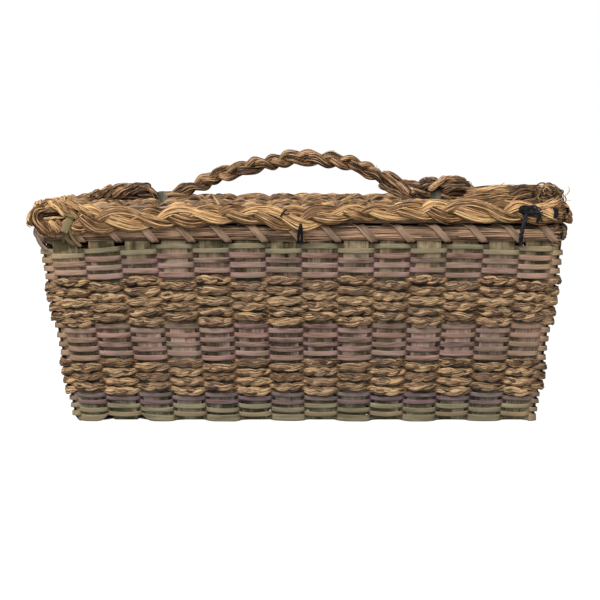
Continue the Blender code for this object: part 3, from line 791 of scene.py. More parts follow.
# The stake that has split below the rim: the heights over which it opens, how wide, and its halves' shares
SPLIT_STAKE = "cross_stake_07"
SPLIT_HEIGHTS = (0.0925, 0.0965)
SPLIT_WIDE = 0.0020
SPLIT_SHARES = ((-1, 0.62), (1, 0.38))
# The sliver in the split: its heights, how far aside it starts and how it leans, its sizes and its shade
SLIVER_HEIGHTS = (0.0935, 0.1075)
SLIVER_ASIDE = 0.0024
SLIVER_LEAN = 0.13
SLIVER = (0.0005, 0.0006)
SLIVER_SHADE = 1.5


def add_split_stake(strands, path, across, out, size):
    """Two halves of a stake that part below the rim on the wall in front, and the sliver between them."""
    near = path[:, 1] < 0
    split = np.where(near, np.interp(path[:, 2], SPLIT_HEIGHTS, (0, SPLIT_WIDE)), 0)
    for side, share in SPLIT_SHARES:
        shift = side * (size * (1 - share) + split * 0.5) / 2
        half = size * share - split * 0.5
        strands.add(path + across * shift[:, None], -across, -out, half, STAKE_THICKNESS)
    low, high = SLIVER_HEIGHTS
    sliver = path[near & (path[:, 2] > low) & (path[:, 2] < high)]
    lean = (SLIVER_ASIDE - (sliver[:, 2:] - low) * SLIVER_LEAN) * RIGHTWARDS
    strands.add(sliver + lean, RIGHTWARDS, UP, *SLIVER, BLADE, SLIVER_SHADE)


def build_stake(name, front, back, width, crossings, lift):
    """A strip down the wall at front, over and under what crosses it in the base, and up at back."""
    strands = Strands(name)
    heights = np.linspace(RIM_TOP - STAKE_SHORT, BEND_HEIGHT, STAKE_POINTS)
    down, facing = wall(front, -STAKE_THICKNESS / 2, heights)
    up, back_facing = wall(back, -STAKE_THICKNESS / 2, heights[::-1])
    start = down[-1] - facing[-1] * BEND_INSET
    finish = up[0] - back_facing[0] * BEND_INSET
    count = crossings * CROSSING_POINTS + 1
    base = start + (finish - start) * np.linspace(0, 1, count)[:, None]
    turn = np.linspace(0, crossings, count)
    side = np.where((np.floor(turn) + lift) % 2 == 0, 1, -1)
    base[:, 2] = BASE_LEVEL + BASE_WAVE * side * (1 - np.abs(2 * (turn % 1 - 0.5)) ** 4)
    path = np.vstack((down, base, up))
    across = np.broadcast_to(unit(np.cross(finish - start, UP)), path.shape)
    out = unit(np.cross(unit(np.gradient(path, axis=0)), across))
    size = width * (1 + drift(strands.rng, np.linspace(0, 1, len(path)), *STAKE_WANDER))
    if name == SPLIT_STAKE:
        add_split_stake(strands, path, across, out, size)
    else:
        strands.add(path, -across, -out, size, STAKE_THICKNESS, STRIP, own_shade(strands.rng, STAKE_SHADES))
    strands.piece("stake_splint", "basket", name)


def build_stakes():
    for i in range(CROSS_STAKES):
        back = CROSS_STAKES * 2 + LONG_STAKES - i - 0.5
        build_stake(f"cross_stake_{i + 1:02}", i + 0.5, back, CROSS_WIDTH, LONG_STAKES, i)
    for j in range(LONG_STAKES):
        left = TURN - j - 0.5
        build_stake(f"long_stake_{j + 1:02}", left, CROSS_STAKES + j + 0.5, LONG_WIDTH, CROSS_STAKES, j + 1)


# The rim's bundle: where round the wall it runs, and its fine strands, from its foot up and curved outwards
RIM_MIDDLE = (RIM_TOP + RIM_BOTTOM) / 2
BUNDLE_ROUND = CROSS_STAKES + np.linspace(0.13, TURN - 0.02, TURN * 9)
FINE_STRANDS = 24
FINE_FOOT = 0.0005
FINE_STEP = 0.00034
FINE_WIDTHS = (0.0006, 0.0012)
FINE_THICK = 0.0010
FINE_WANDER = ((3, 7, 11, 17), 0.00045)
BUNDLE_REACH = 0.0026
BUNDLE_HALF = 0.0050
BUNDLE_WANDER = ((4, 9, 15), 0.00022)
# Its thick strands, which lie deep and take a painted shade: how many, their offset, foot and step, and their
# sizes
THICK_STRANDS = 5
THICK_OFFSET = 0.0010
THICK_FOOT = 0.0013
THICK_STEP = 0.0016
THICK_SIZES = (0.0024, 0.0020)


def build_rim_bundle():
    """Loose strands of sweetgrass laid round the rim, whose ends meet at the front right corner."""
    strands = Strands("rim_bundle_strands")
    rng = strands.rng
    u = BUNDLE_ROUND
    t = (u - u[0]) / TURN
    for k in range(FINE_STRANDS):
        z = RIM_BOTTOM + FINE_FOOT + k * FINE_STEP + drift(rng, t, *FINE_WANDER)
        curved = BUNDLE_REACH - BUNDLE_REACH * ((z - RIM_MIDDLE) / BUNDLE_HALF) ** 2
        path, facing = wall(u, curved + drift(rng, t, *BUNDLE_WANDER), z)
        strands.add(path, UP, facing, rng.uniform(*FINE_WIDTHS), FINE_THICK, BLADE)
    for k in range(THICK_STRANDS):
        path, facing = wall(u, THICK_OFFSET, RIM_BOTTOM + THICK_FOOT + k * THICK_STEP)
        # Painted shade: these strands are drawn dark because they lie deep
        strands.add(path, UP, facing, *THICK_SIZES, ROUND, DEEP_SHADE)
    strands.piece("rim_sweetgrass", "basket", "rim_bundle")


# Hoops of the rim and of the lid: where round the wall they run, how thick they are and how far inside
HOOP_ROUND = CROSS_STAKES + np.linspace(0.2, TURN + 0.2, TURN * 8)
HOOP_THICK = 0.0009
RIM_HOOP_OFFSET = -0.0019
LID_HOOP_OFFSET = -0.0006
LID_HOOP_LEVELS = (0.1170, 0.1238)
# The rim's hoop is less tall than the rim by this and as much above its middle, and sits lower behind
RIM_HOOP_SHY = 0.0004
RIM_HOOP_PLACES = (0, 1, 13, 14, 16, 44, TURN)
RIM_HOOP_DROPS = (0.0026, 0, 0, 0.0010, 0.0032, 0.0032, 0.0026)


def build_hoop(name, body, node, offset, level, tall):
    """A flat splint round the inside of the wall, whose ends overlap at the front right corner."""
    strands = Strands(name)
    path, facing = wall(HOOP_ROUND, offset, level)
    strands.add(path, UP, facing, tall, HOOP_THICK)
    strands.piece("rim_splint", body, node)


def build_rim_hoop():
    """The hoop that the lashing holds against the stakes' ends."""
    level = RIM_MIDDLE + RIM_HOOP_SHY - np.interp(HOOP_ROUND % TURN, RIM_HOOP_PLACES, RIM_HOOP_DROPS)
    tall = RIM_TOP - RIM_BOTTOM - RIM_HOOP_SHY
    build_hoop("rim_hoop_strip", "basket", "rim_hoop", RIM_HOOP_OFFSET, level, tall)


def build_lid_hoop():
    """The hoop under the lid's edge, which the border is bound to."""
    low, high = LID_HOOP_LEVELS
    build_hoop("lid_hoop_strip", "lid", "lid_hoop", LID_HOOP_OFFSET, (low + high) / 2, high - low)


# One turn of the lashing: how far on towards the next gap, the offset and the height
LASHING_TURN = (
    (0.00, 0.0034, RIM_BOTTOM - 0.0002),
    (0.00, 0.0010, RIM_BOTTOM - 0.0005),
    (0.00, -0.0027, RIM_BOTTOM - 0.0002),
    (0.12, -0.0031, RIM_BOTTOM + 0.0030),
    (0.30, -0.0029, RIM_TOP - 0.0002),
    (0.42, -0.0010, RIM_TOP + 0.0005),
    (0.57, 0.0018, RIM_TOP + 0.0003),
    (0.66, 0.0034, RIM_TOP - 0.0008),
    (0.81, 0.0040, RIM_TOP - 0.0044),
    (0.96, 0.0038, RIM_BOTTOM + 0.0008),
)
# It starts inside the rim. A gap to the next is about this long, and points lie this far apart
LASHING_START = 3
LASHING_PITCH = 0.02
LASHING_STEP = 0.0011
LASHING_WIDE = 0.0042
LASHING_WANDER = ((9, 23, 31), 0.12)
# It faces away from a line in the rim at this offset, and less so up and down
LASHING_CENTRE = 0.0008
LASHING_FACING = (1, 0.6)
# The thickness of the lashing, the loops and the other splint that binds
BINDER_THICK = 0.0006


def build_lashing():
    """A flat splint wound round the rim, down to the right over the outside and in through each gap."""
    strands = Strands("rim_lashing_strip")
    knots = [(gap + share, offset, z) for gap in range(TURN) for share, offset, z in LASHING_TURN]
    line = curve(np.array(knots[LASHING_START:]) * (LASHING_PITCH, 1, 1), LASHING_STEP)
    u, offset, z = line[:, 0] / LASHING_PITCH, line[:, 1], line[:, 2]
    path, facing = wall(u, offset, z)
    centre = unit(np.stack((offset - LASHING_CENTRE, z - RIM_MIDDLE), -1) * LASHING_FACING)
    across, out = sideways(path, unit(facing * centre[:, :1] + UP * centre[:, 1:]))
    width = LASHING_WIDE * (1 + drift(strands.rng, (u - u[0]) / TURN, *LASHING_WANDER))
    strands.add(path, across, out, width, BINDER_THICK)
    strands.piece("rim_splint", "basket", "rim_lashing")


# The lid: points to each stake along a braid and along a splint, and points along a stake of the lid
LID_BRAID_POINTS = 16
LID_SPLINT_POINTS = 10
LID_STAKE_POINTS = 24


def build_lid_row(name, node, row, y, slot):
    """One weaver of the lid, over and under its stakes from end to end."""
    strands = Strands(name)
    rng = strands.rng
    braided = slot == "lid_braid"
    points = LID_BRAID_POINTS if braided else LID_SPLINT_POINTS
    corner = abs(y) - (HALF_DEPTH[1] - CORNER[1])
    end = LID_REACH_X - (CORNER[1] - (CORNER[1] ** 2 - corner**2) ** 0.5 if corner > 0 else 0)
    x = np.linspace(-end, end, (CROSS_STAKES + 1) * points)
    side, e = weave(x / CROSS_PITCH[1] + CROSS_STAKES / 2, row)
    t = np.linspace(0, 1, len(x))
    reach = BRAID_REACH if braided else SPLINT_REACH
    z = LID_STAKE_LEVEL + side * reach * (1 - e**SQUARE) * (1 + drift(rng, t, *LID_REACH_WANDER))
    path = np.stack((x, y + drift(rng, t, *LID_SWAY), z), -1)
    if braided:
        tall = height_of(BRAID_TALL, LID_PITCH, e, BACK_PLACE) * (1 + drift(rng, t, *LID_BRAID_WANDER))
        period = BRAID_PERIOD * rng.uniform(*PERIODS)
        strands.braid(path, BACKWARDS, UP, tall, BRAID_THICK, period, phase=rng.random(), **LID_BRAID)
    else:
        tall = height_of(SPLINT_TALL, LID_PITCH, e, BACK_PLACE) * (1 + drift(rng, t, *LID_SPLINT_WANDER))
        strands.add(path, BACKWARDS, UP, tall, SPLINT_THICK)
    strands.piece(slot, "lid", node, look=None if braided else "lid_splint")


def build_lid_weave():
    row = 0
    for node, rows, slot in LID_BANDS:
        for k in range(rows):
            y = -LID_REACH_Y + (row + 0.5) * LID_PITCH
            build_lid_row(f"{node}_row_{k + 1}", node, row, y, slot)
            row += 1


def build_lid_stakes():
    y = np.linspace(-LID_REACH_Y, LID_REACH_Y, LID_STAKE_POINTS)
    for i in range(CROSS_STAKES):
        name = f"lid_stake_{i + 1:02}"
        strands = Strands(name)
        x = (i + 0.5 - CROSS_STAKES / 2) * CROSS_PITCH[1]
        path = np.stack((np.full_like(y, x), y, np.full_like(y, LID_STAKE_LEVEL)), -1)
        strands.add(path, RIGHTWARDS, UP, CROSS_WIDTH, STAKE_THICKNESS)
        strands.piece("stake_splint", "lid", name)


# Along the border, counted in stakes: how far it hangs below its bottom edge, and how far its top edge rises
BORDER_EDGES = (
    (0.0, 0.0020, 0.0020), (0.9, 0.0070, 0.0016), (1.6, 0.0058, -0.0008), (2.5, 0.0040, -0.0016),
    (3.2, 0.0028, -0.0012), (3.9, 0.0026, 0.0), (4.4, 0.0012, 0.0), (4.8, 0.0002, 0.0),
    (5.3, -0.0008, 0.0), (5.9, 0.0008, 0.0), (6.4, 0.0044, 0.0), (6.9, 0.0053, 0.0),
    (7.4, 0.0026, 0.0), (7.9, 0.0004, 0.0), (8.3, -0.0016, 0.0), (9.6, -0.0018, 0.0006),
    (10.6, -0.0006, 0.0032), (12.6, -0.0002, 0.0030), (14.0, 0.0000, 0.0), (18.5, 0.0018, 0.0010),
    (23.0, 0.0006, 0.0), (30.0, 0.0024, 0.0010), (37.0, 0.0008, 0.0), (42.0, 0.0020, 0.0010),
    (46.0, 0.0020, 0.0020),
)
# Its edges are smoothed over so many points, its top leans inwards, and its strands pass its edges a little
BORDER_SMOOTHING = 9
BORDER_TOP = 0.1282
BORDER_BOTTOM = 0.1166
BORDER_LEAN = 0.24
BORDER_OVER = 0.0008
BORDER_BRAID = {"depth": 0.0070, "period": 0.0500, "phase": 0.1, "loose": 0.05, "full": 0.88}
# Its twist and its plait, and how far they wander
BORDER_TWIST = (0.55, 0.35)
BORDER_PLAIT = (-0.8, 0.3)
# Where its two runs start and stop, and their points; how far they stand out, and the front one more so where
# it hangs lower
FRONT_RUN = (0.75, 13.95, 230)
FRONT_BLADES = 40
FRONT_OFFSET = 0.0040
FRONT_SLOPE = 0.12
SIDE_RUN = (14.35, 45.80, 420)
SIDE_BLADES = 26
SIDE_OFFSET = 0.0038


def plait_border(name, path, facing, u, wide, blades):
    """Plait one run of the border along a path, each strand a piece of its own."""
    rng = random_for(name)
    t = np.linspace(0, 1, len(u))
    across = unit(UP - facing * BORDER_LEAN)
    out = unit(facing + UP * BORDER_LEAN)
    turns = max(2, int(u[-1] - u[0]))
    cycles = (turns // 5 + 1, turns // 3 + 1, turns // 2 + 1)
    twist, plait = (middle + drift(rng, t, cycles, size) for middle, size in (BORDER_TWIST, BORDER_PLAIT))
    for j in range(3):
        strands = Strands(f"{name}_strand_{j + 1}")
        ways = {"blades": blades, "twist": twist, "weave": plait, "which": (j,)}
        strands.braid(path, across, out, wide, **ways, **BORDER_BRAID)
        strands.piece("border_plait", "lid", "lid_border")


def border_levels(u):
    """The border's bottom and top edges at places counted in stakes."""
    places, drops, rises = np.array(BORDER_EDGES).T
    edges = []
    for values in (drops, rises):
        value = np.pad(np.interp(np.mod(u, TURN), places, values), BORDER_SMOOTHING // 2, mode="edge")
        edges.append(np.convolve(value, np.ones(BORDER_SMOOTHING) / BORDER_SMOOTHING, mode="valid"))
    return BORDER_BOTTOM - edges[0], BORDER_TOP + edges[1]


def build_border():
    """The plait along the front, and the one round the other three sides of the lid."""
    u = np.linspace(*FRONT_RUN)
    bottom, top = border_levels(u)
    x = (u - CROSS_STAKES / 2) * CROSS_PITCH[1]
    y = -HALF_DEPTH[1] - FRONT_OFFSET - (BORDER_BOTTOM - bottom) * FRONT_SLOPE
    path = np.stack((x, y, (top + bottom) / 2), -1)
    facing = np.broadcast_to(FORWARDS, path.shape)
    plait_border("lid_border_front", path, facing, u, top - bottom + BORDER_OVER, FRONT_BLADES)
    u = np.linspace(*SIDE_RUN)
    bottom, top = border_levels(u)
    path, facing = wall(u, SIDE_OFFSET, (top + bottom) / 2)
    plait_border("lid_border_sides", path, facing, u, top - bottom + BORDER_OVER, SIDE_BLADES)


# Bundles drawn after the photograph: plane, path in pixels, width in pixels, blades, shade
CORNER_LEFT = (
    (
        -0.0945, ((45, 208), (38, 209.5), (34.8, 214.5), (35.6, 221), (41, 227.5), (48, 232.5), (56, 236)),
        9.5, 30, 0.3,
    ),
    # A small black lump filling a hollow: painted shadow
    (-0.0990, ((71, 218), (74, 221.4)), 4.0, 5, -1.2),
    (-0.0935, ((43, 211), (39.5, 214), (40.5, 220), (46, 226), (54, 232)), 7.0, 22, 0.0),
    (-0.0930, ((42, 205.6), (47, 202.6), (54, 202.4), (64, 206)), 8.0, 26, 0.4),
    (-0.0940, ((42, 211), (49, 208.8), (57, 209), (66, 211.5)), 8.0, 26, 0.3),
    (-0.0925, ((41, 216), (50, 215), (58, 215), (68, 216)), 7.0, 16, -0.5),
    (-0.0985, ((49, 201.5), (56.5, 207.5), (65.5, 216)), 5.0, 16, 0.8),
    (-0.0985, ((58, 200.5), (67, 208.5), (78, 218)), 6.6, 22, 0.7),
    (-0.0985, ((66, 200.5), (79, 207.5), (94, 216)), 7.0, 22, 0.6),
    (-0.0965, ((43.5, 218.6), (54, 217.6), (66, 217.4)), 1.8, 5, 1.3),
    (-0.0955, ((43, 220.5), (47, 226), (51, 233)), 6.5, 20, 0.2),
    (-0.0960, ((49, 220.5), (54, 226), (59, 233)), 6.5, 20, 0.6),
    (-0.0965, ((56, 220.5), (61, 226), (68, 232.5)), 6.5, 20, 0.3),
    (-0.0970, ((63, 221), (71, 226.5), (84, 231.5)), 6.5, 20, 0.7),
)
BORDER_END_RIGHT = (
    (-0.0945, ((534, 217), (546, 216.6), (556, 216.4), (565.5, 217)), 11.0, 34, 0.3),
    (-0.0925, ((548, 209), (554, 208.6), (560, 208.2), (567, 208)), 11.0, 34, 0.1),
    (-0.0935, ((530, 208), (542, 206.6), (553, 203), (563, 198)), 8.0, 26, 0.7),
    (-0.0955, ((533, 211), (544, 209), (554, 205.6), (562, 201.6)), 5.0, 16, 0.9),
    (-0.0950, ((538, 213), (548, 211.6), (557, 208.6), (564, 206)), 5.0, 16, 0.4),
)
GRASS_RIGHT = (
    (-0.0480, ((466, 192.5), (490, 190.5), (516, 190), (545, 190), (562, 193)), 10.0, 30, -0.1),
    (-0.0520, ((466, 199), (490, 198), (516, 198), (545, 198), (566, 201)), 9.0, 24, -0.1),
    (-0.0540, ((468, 193.5), (484, 190.5), (498, 188.5), (516, 187.4)), 6.5, 26, 0.8),
    (-0.0590, ((464, 197), (484, 194.5), (500, 192.5), (518, 192)), 6.5, 26, 0.5),
    (-0.0640, ((474, 200.5), (492, 198.5), (508, 197.4), (528, 199)), 6.5, 24, 0.2),
    (-0.0760, ((498, 204), (514, 204), (526, 205), (538, 208)), 6.5, 22, 0.4),
)
BALL_RIGHT = (
    (-0.0580, ((509, 195), (522, 192), (536, 194)), 13.0, 20, -0.6),
    (-0.0600, ((509, 191.5), (516, 186.6), (525, 185.4), (534, 189)), 2.4, 8, 0.2),
    (-0.0615, ((509, 194), (517, 188.6), (526, 187.2), (535, 191)), 2.4, 8, -0.1),
    (-0.0630, ((510, 196.6), (518, 191.2), (527, 189.6), (536, 193)), 2.4, 8, 0.3),
    (-0.0645, ((510, 199), (519, 193.8), (527, 192.2), (537, 195.6)), 2.4, 8, 0.0),
    (-0.0660, ((512, 201.6), (520, 196.4), (528, 194.8), (537, 198)), 2.4, 8, 0.2),
    (-0.0675, ((514, 203.6), (521, 199), (529, 197.4), (538, 200.4)), 2.4, 8, -0.1),
    (-0.0690, ((517, 205.4), (524, 201.6), (530, 200.2), (538, 202.6)), 2.4, 8, 0.3),
    (-0.0700, ((532, 195), (546, 192), (562, 195)), 13.0, 24, -0.4),
    (-0.0740, ((532, 202), (546, 199.5), (564, 201)), 9.0, 24, 0.1),
)
KNOT_LEFT = (
    (0.0000, ((66, 202), (78, 199.6), (88, 198), (100, 195)), 6.5, 22, 0.9),
    (-0.0010, ((76, 199.5), (85, 196), (93, 194.6)), 5.0, 18, 1.0),
    (-0.0030, ((90, 196), (95.6, 192), (100, 190.4)), 4.4, 16, 0.9),
    (-0.0040, ((96.5, 198), (103, 191.4), (112, 185.6)), 6.0, 20, 0.8),
    (0.0010, ((98, 195.5), (112, 194.4), (126, 194), (140, 194.4), (156, 196)), 12.0, 22, 0.3),
    (-0.0020, ((104, 197.6), (111, 190.4), (120, 186.4), (129, 185.6)), 7.0, 24, 0.6),
    (-0.0045, ((113, 197), (120, 191.6), (127, 187.5), (133, 184.6)), 6.0, 20, 0.7),
    (-0.0035, ((121, 197), (127, 193), (133, 189), (139, 186)), 5.0, 18, 0.5),
    (-0.0020, ((129, 188.4), (136, 186), (144, 185.6), (151, 187)), 6.4, 24, 0.5),
    (-0.0040, ((131, 193.5), (140, 190), (149, 190)), 5.4, 18, 0.4),
)
STUB_LEFT = (
    (-0.0045, ((143, 186), (149, 188.6), (154.6, 194), (157.4, 199.4)), 6.0, 22, 0.4),
    (-0.0035, ((138, 196), (147, 196), (153, 197.4), (158, 199.4)), 5.0, 16, 0.1),
)
KNOT_RIGHT = (
    (0.0010, ((416, 189.4), (432, 189.6), (448, 189.4), (468, 190)), 15.0, 24, 0.3),
    (-0.0020, ((418, 186), (423, 181.6), (430, 179.4), (438, 180.4)), 6.0, 22, 0.5),
    (-0.0040, ((420, 189), (427, 185.6), (434, 183.6), (440, 184)), 5.0, 16, 0.3),
    (-0.0055, ((428.5, 190.5), (434, 186), (440, 181.4), (445.5, 176.6)), 6.0, 22, 0.8),
    (-0.0020, ((442, 179.6), (450, 179), (458, 179), (466, 181)), 6.0, 24, 0.6),
    (-0.0035, ((440, 186), (450, 183.8), (458, 183), (467, 185)), 6.0, 20, 0.5),
    (-0.0045, ((443, 191.5), (452, 188.6), (460, 187.6), (469, 189)), 5.5, 18, 0.3),
)
KNOT_END_RIGHT = (
    (-0.0030, ((460, 181), (466, 183), (470, 187), (473, 191.6)), 6.0, 22, 0.3),
    (-0.0020, ((456, 189), (463, 189.4), (469, 192), (473, 195.6)), 6.5, 22, 0.0),
)
HANDLE_LEG = (
    (-0.0040, ((382, 172.5), (390, 178), (400, 186.5), (409, 195.5)), 7.6, 10, 0.95),
    (-0.0038, ((386, 172), (395, 177.5), (405, 186.5), (413, 196)), 6.8, 9, 0.35),
    (-0.0032, ((379, 184), (385, 188), (394, 191.5), (404, 196)), 6.0, 8, 0.5),
    (-0.0026, ((394, 184.5), (403, 183.6), (411, 184), (421, 186)), 7.4, 10, 0.6),
    (-0.0030, ((402, 192), (411, 192), (419, 192), (426, 193.6)), 6.5, 9, 0.8),
)
# The knots are as deep as this, and the side away from the camera is like the near one
KNOT_BACK = 0.0050
KNOT_LEFT += tuple((KNOT_BACK - plane, *rest) for plane, *rest in KNOT_LEFT)
KNOT_RIGHT += tuple((KNOT_BACK - plane, *rest) for plane, *rest in KNOT_RIGHT)
# Flat strips drawn the same way: plane, path in pixels, width in pixels, shade
TIE_LEFT = (
    (-0.1005, ((71, 215.5), (69.4, 219.5), (66.4, 226), (63.6, 232.5)), 7.6, 0.8),
    (-0.1000, ((66, 229), (66, 235, 0.0015), (68.4, 240.5, 0.0028), (75, 245.5, 0.0045)), 4.6, 0.5),
    (-0.1003, ((69, 227), (70.6, 234, 0.0014), (74, 240, 0.0028), (81, 246.5, 0.0046)), 3.0, 0.9),
    (-0.0998, ((64.6, 231), (63.6, 237, 0.0018), (63.4, 243.5, 0.0038)), 3.2, 0.3),
    (-0.1014, ((64, 214), (68, 215.4), (72.4, 217.4)), 2.2, 0.6),
)
TIE_MIDDLE = (
    (-0.1022, ((300.8, 223.5), (299.6, 229), (298.4, 236, 0.0034), (298.2, 242, 0.0058)), 2.6, 0.5),
    (-0.1025, ((300.6, 223.5), (301.6, 229), (301.8, 236, 0.0034), (302.0, 242, 0.0058)), 2.4, 0.3),
    (-0.0962, ((297.4, 241.4), (300.5, 241.8), (303.6, 242.4)), 1.8, 0.2),
)
STRIPS_LEFT = (
    (-0.0930, ((38.6, 229), (37.8, 236), (41, 243.5), (47.5, 250)), 2.8, 1.2),
    (-0.0925, ((35.4, 232.5), (36.6, 239), (40, 245.5), (45, 250.4)), 1.3, 0.6),
)
THREAD_STITCHES = (
    (-0.1002, ((533, 209.5), (536.6, 210.4), (538.6, 214), (537.6, 222.5)), 3.4, 0.3),
    (-0.1000, ((540.5, 213), (540.6, 218), (542.5, 222)), 1.6, 0.3),
    (-0.1015, ((554.6, 207.5), (556.2, 212), (555.2, 218.5)), 4.4, 0.2),
    (-0.1012, ((557.4, 208.5), (557.8, 213), (556.6, 217)), 2.0, 0.5),
    (-0.0975, ((521.4, 208.4), (519.6, 210.4), (521, 212.4)), 1.6, 0.5),
    (-0.0985, ((280.6, 216.5), (283, 212.5), (286.6, 209.4)), 1.5, 0.2),
    (-0.0985, ((282.6, 213), (286, 214.4), (289.5, 213.2)), 1.1, 0.2),
)
FIBRES_LID = (
    (-0.0930, ((219.5, 205), (216, 200), (211.8, 193.8)), 1.5, 1.0),
    (-0.0600, ((498, 187), (502, 184), (507, 181.4)), 0.8, 0.8),
    (-0.0900, ((563, 197), (568, 193), (569.4, 189), (567, 185)), 1.1, 0.6),
    (-0.0900, ((564, 201.5), (568, 200.6), (572.5, 200.4)), 0.6, 0.8),
    (-0.0930, ((55, 201), (52, 198.5), (49, 198)), 0.6, 1.0),
    (-0.0930, ((58, 200.5), (54, 197), (50.5, 196.2)), 0.5, 1.0),
    (-0.0930, ((66, 200.6), (62, 198.6), (58.6, 198.8)), 0.6, 1.0),
    (-0.0950, ((34, 224), (33, 227), (33.6, 229)), 0.6, 1.0),
)
FIBRES_HANDLE = (
    (-0.0030, ((375, 169), (377, 166.6), (376.6, 164.6)), 0.5, 0.6),
    (-0.0030, ((376, 170), (378.6, 168), (379.8, 168.4)), 0.5, 0.6),
    (-0.0030, ((330, 152), (333, 150.6), (335, 151)), 0.5, 0.6),
)


# A drawn bundle: points this far apart, how flat it is, how its blades stray, and how its ends round off
DRAW_STEP = 0.0007
BUNDLE_FLATNESS = 0.8
BUNDLE_STRAY = 0.00025
BUNDLE_ROUNDING = 0.75
# How thick a thread is drawn
THREAD_THICK = 0.0012


def draw(plane, pixels):
    """A smooth path through pixels of the photograph, on one upright plane, and its directions.

    A third value of a pixel is how far behind the plane the path lies there.
    """
    path = curve([on_plane(pixel[:2], plane + sum(pixel[2:])) for pixel in pixels], DRAW_STEP)
    return (path, *sideways(path, FORWARDS))


def draw_bundles(name, slot, body, bundles, node, spread=0.0, uneven=0.0, core=CORE_SHADE):
    strands = Strands(name)
    for plane, pixels, wide, blades, shade in bundles:
        path, across, out = draw(plane, pixels)
        t = np.linspace(-1, 1, len(path))
        ends = (1 - BUNDLE_ROUNDING * t**6) ** 0.5 if not uneven else 1.0
        size = wide * pixel_size(plane) * ends
        strands.sheaf(
            path, across, out, size, size * BUNDLE_FLATNESS, blades, shade, spread, uneven, BUNDLE_STRAY, core
        )
    strands.piece(slot, body, node)


def draw_strips(name, slot, body, strips, node, thick=BINDER_THICK, tip=False):
    strands = Strands(name)
    for plane, pixels, wide, shade in strips:
        strands.add(*draw(plane, pixels), wide * pixel_size(plane), thick, STRIP, shade, tip)
    return strands.piece(slot, body, node)


def build_corners():
    draw_bundles("corner_left", "border_plait", "lid", CORNER_LEFT, "lid_border")
    ends = {"spread": 0.5, "uneven": 0.16}
    draw_bundles("border_end_right", "border_plait", "lid", BORDER_END_RIGHT, "lid_border", **ends)
    draw_bundles("grass_right", "border_plait", "lid", GRASS_RIGHT, "lid_border", spread=0.2, uneven=0.1)
    draw_bundles("ball_right", "lid_braid", "lid", BALL_RIGHT, "lid_border")
    draw_strips("loose_strips_left", "rim_splint", "basket", STRIPS_LEFT, "rim_lashing")


def part_turn(rng, turns, count):
    """Angles along a part of a turn that starts anywhere."""
    return np.linspace(0, 2 * pi * rng.uniform(*turns), count) + rng.uniform(0, 2 * pi)


# Curled stems at the right corner: centre in pixels, how far they reach, how many
COILS = (
    ((538, 190.5), 6.0, 16),
    ((547, 190.5), 8.0, 30),
    ((556, 194), 7.0, 24),
    ((545, 197), 7.0, 24),
    ((559, 200), 5.0, 12),
)
# Their turns, points, shares of the reach, scatter in pixels, planes, tilts, heights beside widths, waves
# forwards and back, and stems
COIL_TURNS = (0.3, 0.75)
COIL_POINTS = 20
COIL_SHARES = (0.45, 1.0)
COIL_SCATTER = 1.6
COIL_PLANE = -0.08
COIL_PLANES = (-0.090, -0.074)
COIL_TILTS = (-0.5, 0.5)
COIL_ROUND = (0.5, 0.9)
COIL_DEEP = 0.5
COIL_PHASE = 6
COIL_STEMS = (0.0005, 0.0010)
STEM_FLATNESS = 0.7


def build_coils():
    """Stems that curl into loops where the two runs of the border meet."""
    strands = Strands("coils_right")
    rng = strands.rng
    for centre, reach, count in COILS:
        for _ in range(count):
            turn = part_turn(rng, COIL_TURNS, COIL_POINTS)
            size = reach * rng.uniform(*COIL_SHARES) * pixel_size(COIL_PLANE)
            start = on_plane(np.array(centre) + rng.normal(0, COIL_SCATTER, 2), rng.uniform(*COIL_PLANES))
            tilt = rng.uniform(*COIL_TILTS)
            x, z = np.cos(turn) * size, np.sin(turn) * size * rng.uniform(*COIL_ROUND)
            y = np.sin(turn + rng.uniform(0, COIL_PHASE)) * size * COIL_DEEP
            path = start + np.stack((x * cos(tilt) - z * sin(tilt), y, x * sin(tilt) + z * cos(tilt)), -1)
            thick = rng.uniform(*COIL_STEMS)
            strands.add(path, *sideways(path, FORWARDS), thick, thick * STEM_FLATNESS, BLADE, tip=True)
    strands.piece("lid_braid", "lid", "lid_border")


# Cut ends, brushed outwards: centre in pixels, reach across and up in pixels, stems
BRUSHES = (
    ("brush_border", "lid", "lid_border", "border_plait", (556.5, 212), 4.0, 8.5, 190),
    ("brush_rim", "basket", "rim_bundle", "rim_sweetgrass", (555.5, 235.5), 3.6, 10.0, 200),
)
# Where their roots lie, how far in and how deep; a stem's mean heading, its scatter, and how it bends
BRUSH_PLANES = (-0.0870, -0.09)
BRUSH_ROOT = (-0.004, 0.007)
BRUSH_DROP = 0.1
BRUSH_SCATTER = (0.15, 0.12)
BRUSH_BEND = (0.4, 60)
BRUSH_POINTS = 9
BRUSH_LONG = 0.0035
BRUSH_LENGTHS = (0.75, 1.1)
BRUSH_THICK = 0.0007


def build_brushes():
    """The cut ends of the plait and of the rim's bundle at the right corner."""
    size = pixel_size(BRUSH_PLANES[1])
    for name, body, node, slot, centre, wide, tall, count in BRUSHES:
        strands = Strands(name)
        rng = strands.rng
        for _ in range(count):
            angle = rng.uniform(0, 2 * pi)
            far = rng.random() ** 0.5
            aside = (BRUSH_ROOT[0], BRUSH_ROOT[1] * cos(angle) * far, tall * size * sin(angle) * far)
            root = on_plane(centre, BRUSH_PLANES[0]) + np.array(aside)
            heading = [rng.normal(0, scatter) for scatter in BRUSH_SCATTER]
            heading = np.array((1.0, heading[0] - BRUSH_DROP, heading[1]))
            bend = rng.normal(0, BRUSH_BEND[0], 3)
            s = np.linspace(0, 1, BRUSH_POINTS)[:, None] * (wide * size + BRUSH_LONG)
            s = s * rng.uniform(*BRUSH_LENGTHS)
            path = root + heading * s + bend * s**2 * BRUSH_BEND[1]
            across, out = sideways(path, FORWARDS)
            strands.add(path, across, out, rng.uniform(*FINE_WIDTHS), BRUSH_THICK, BLADE)
        strands.piece(slot, body, node)


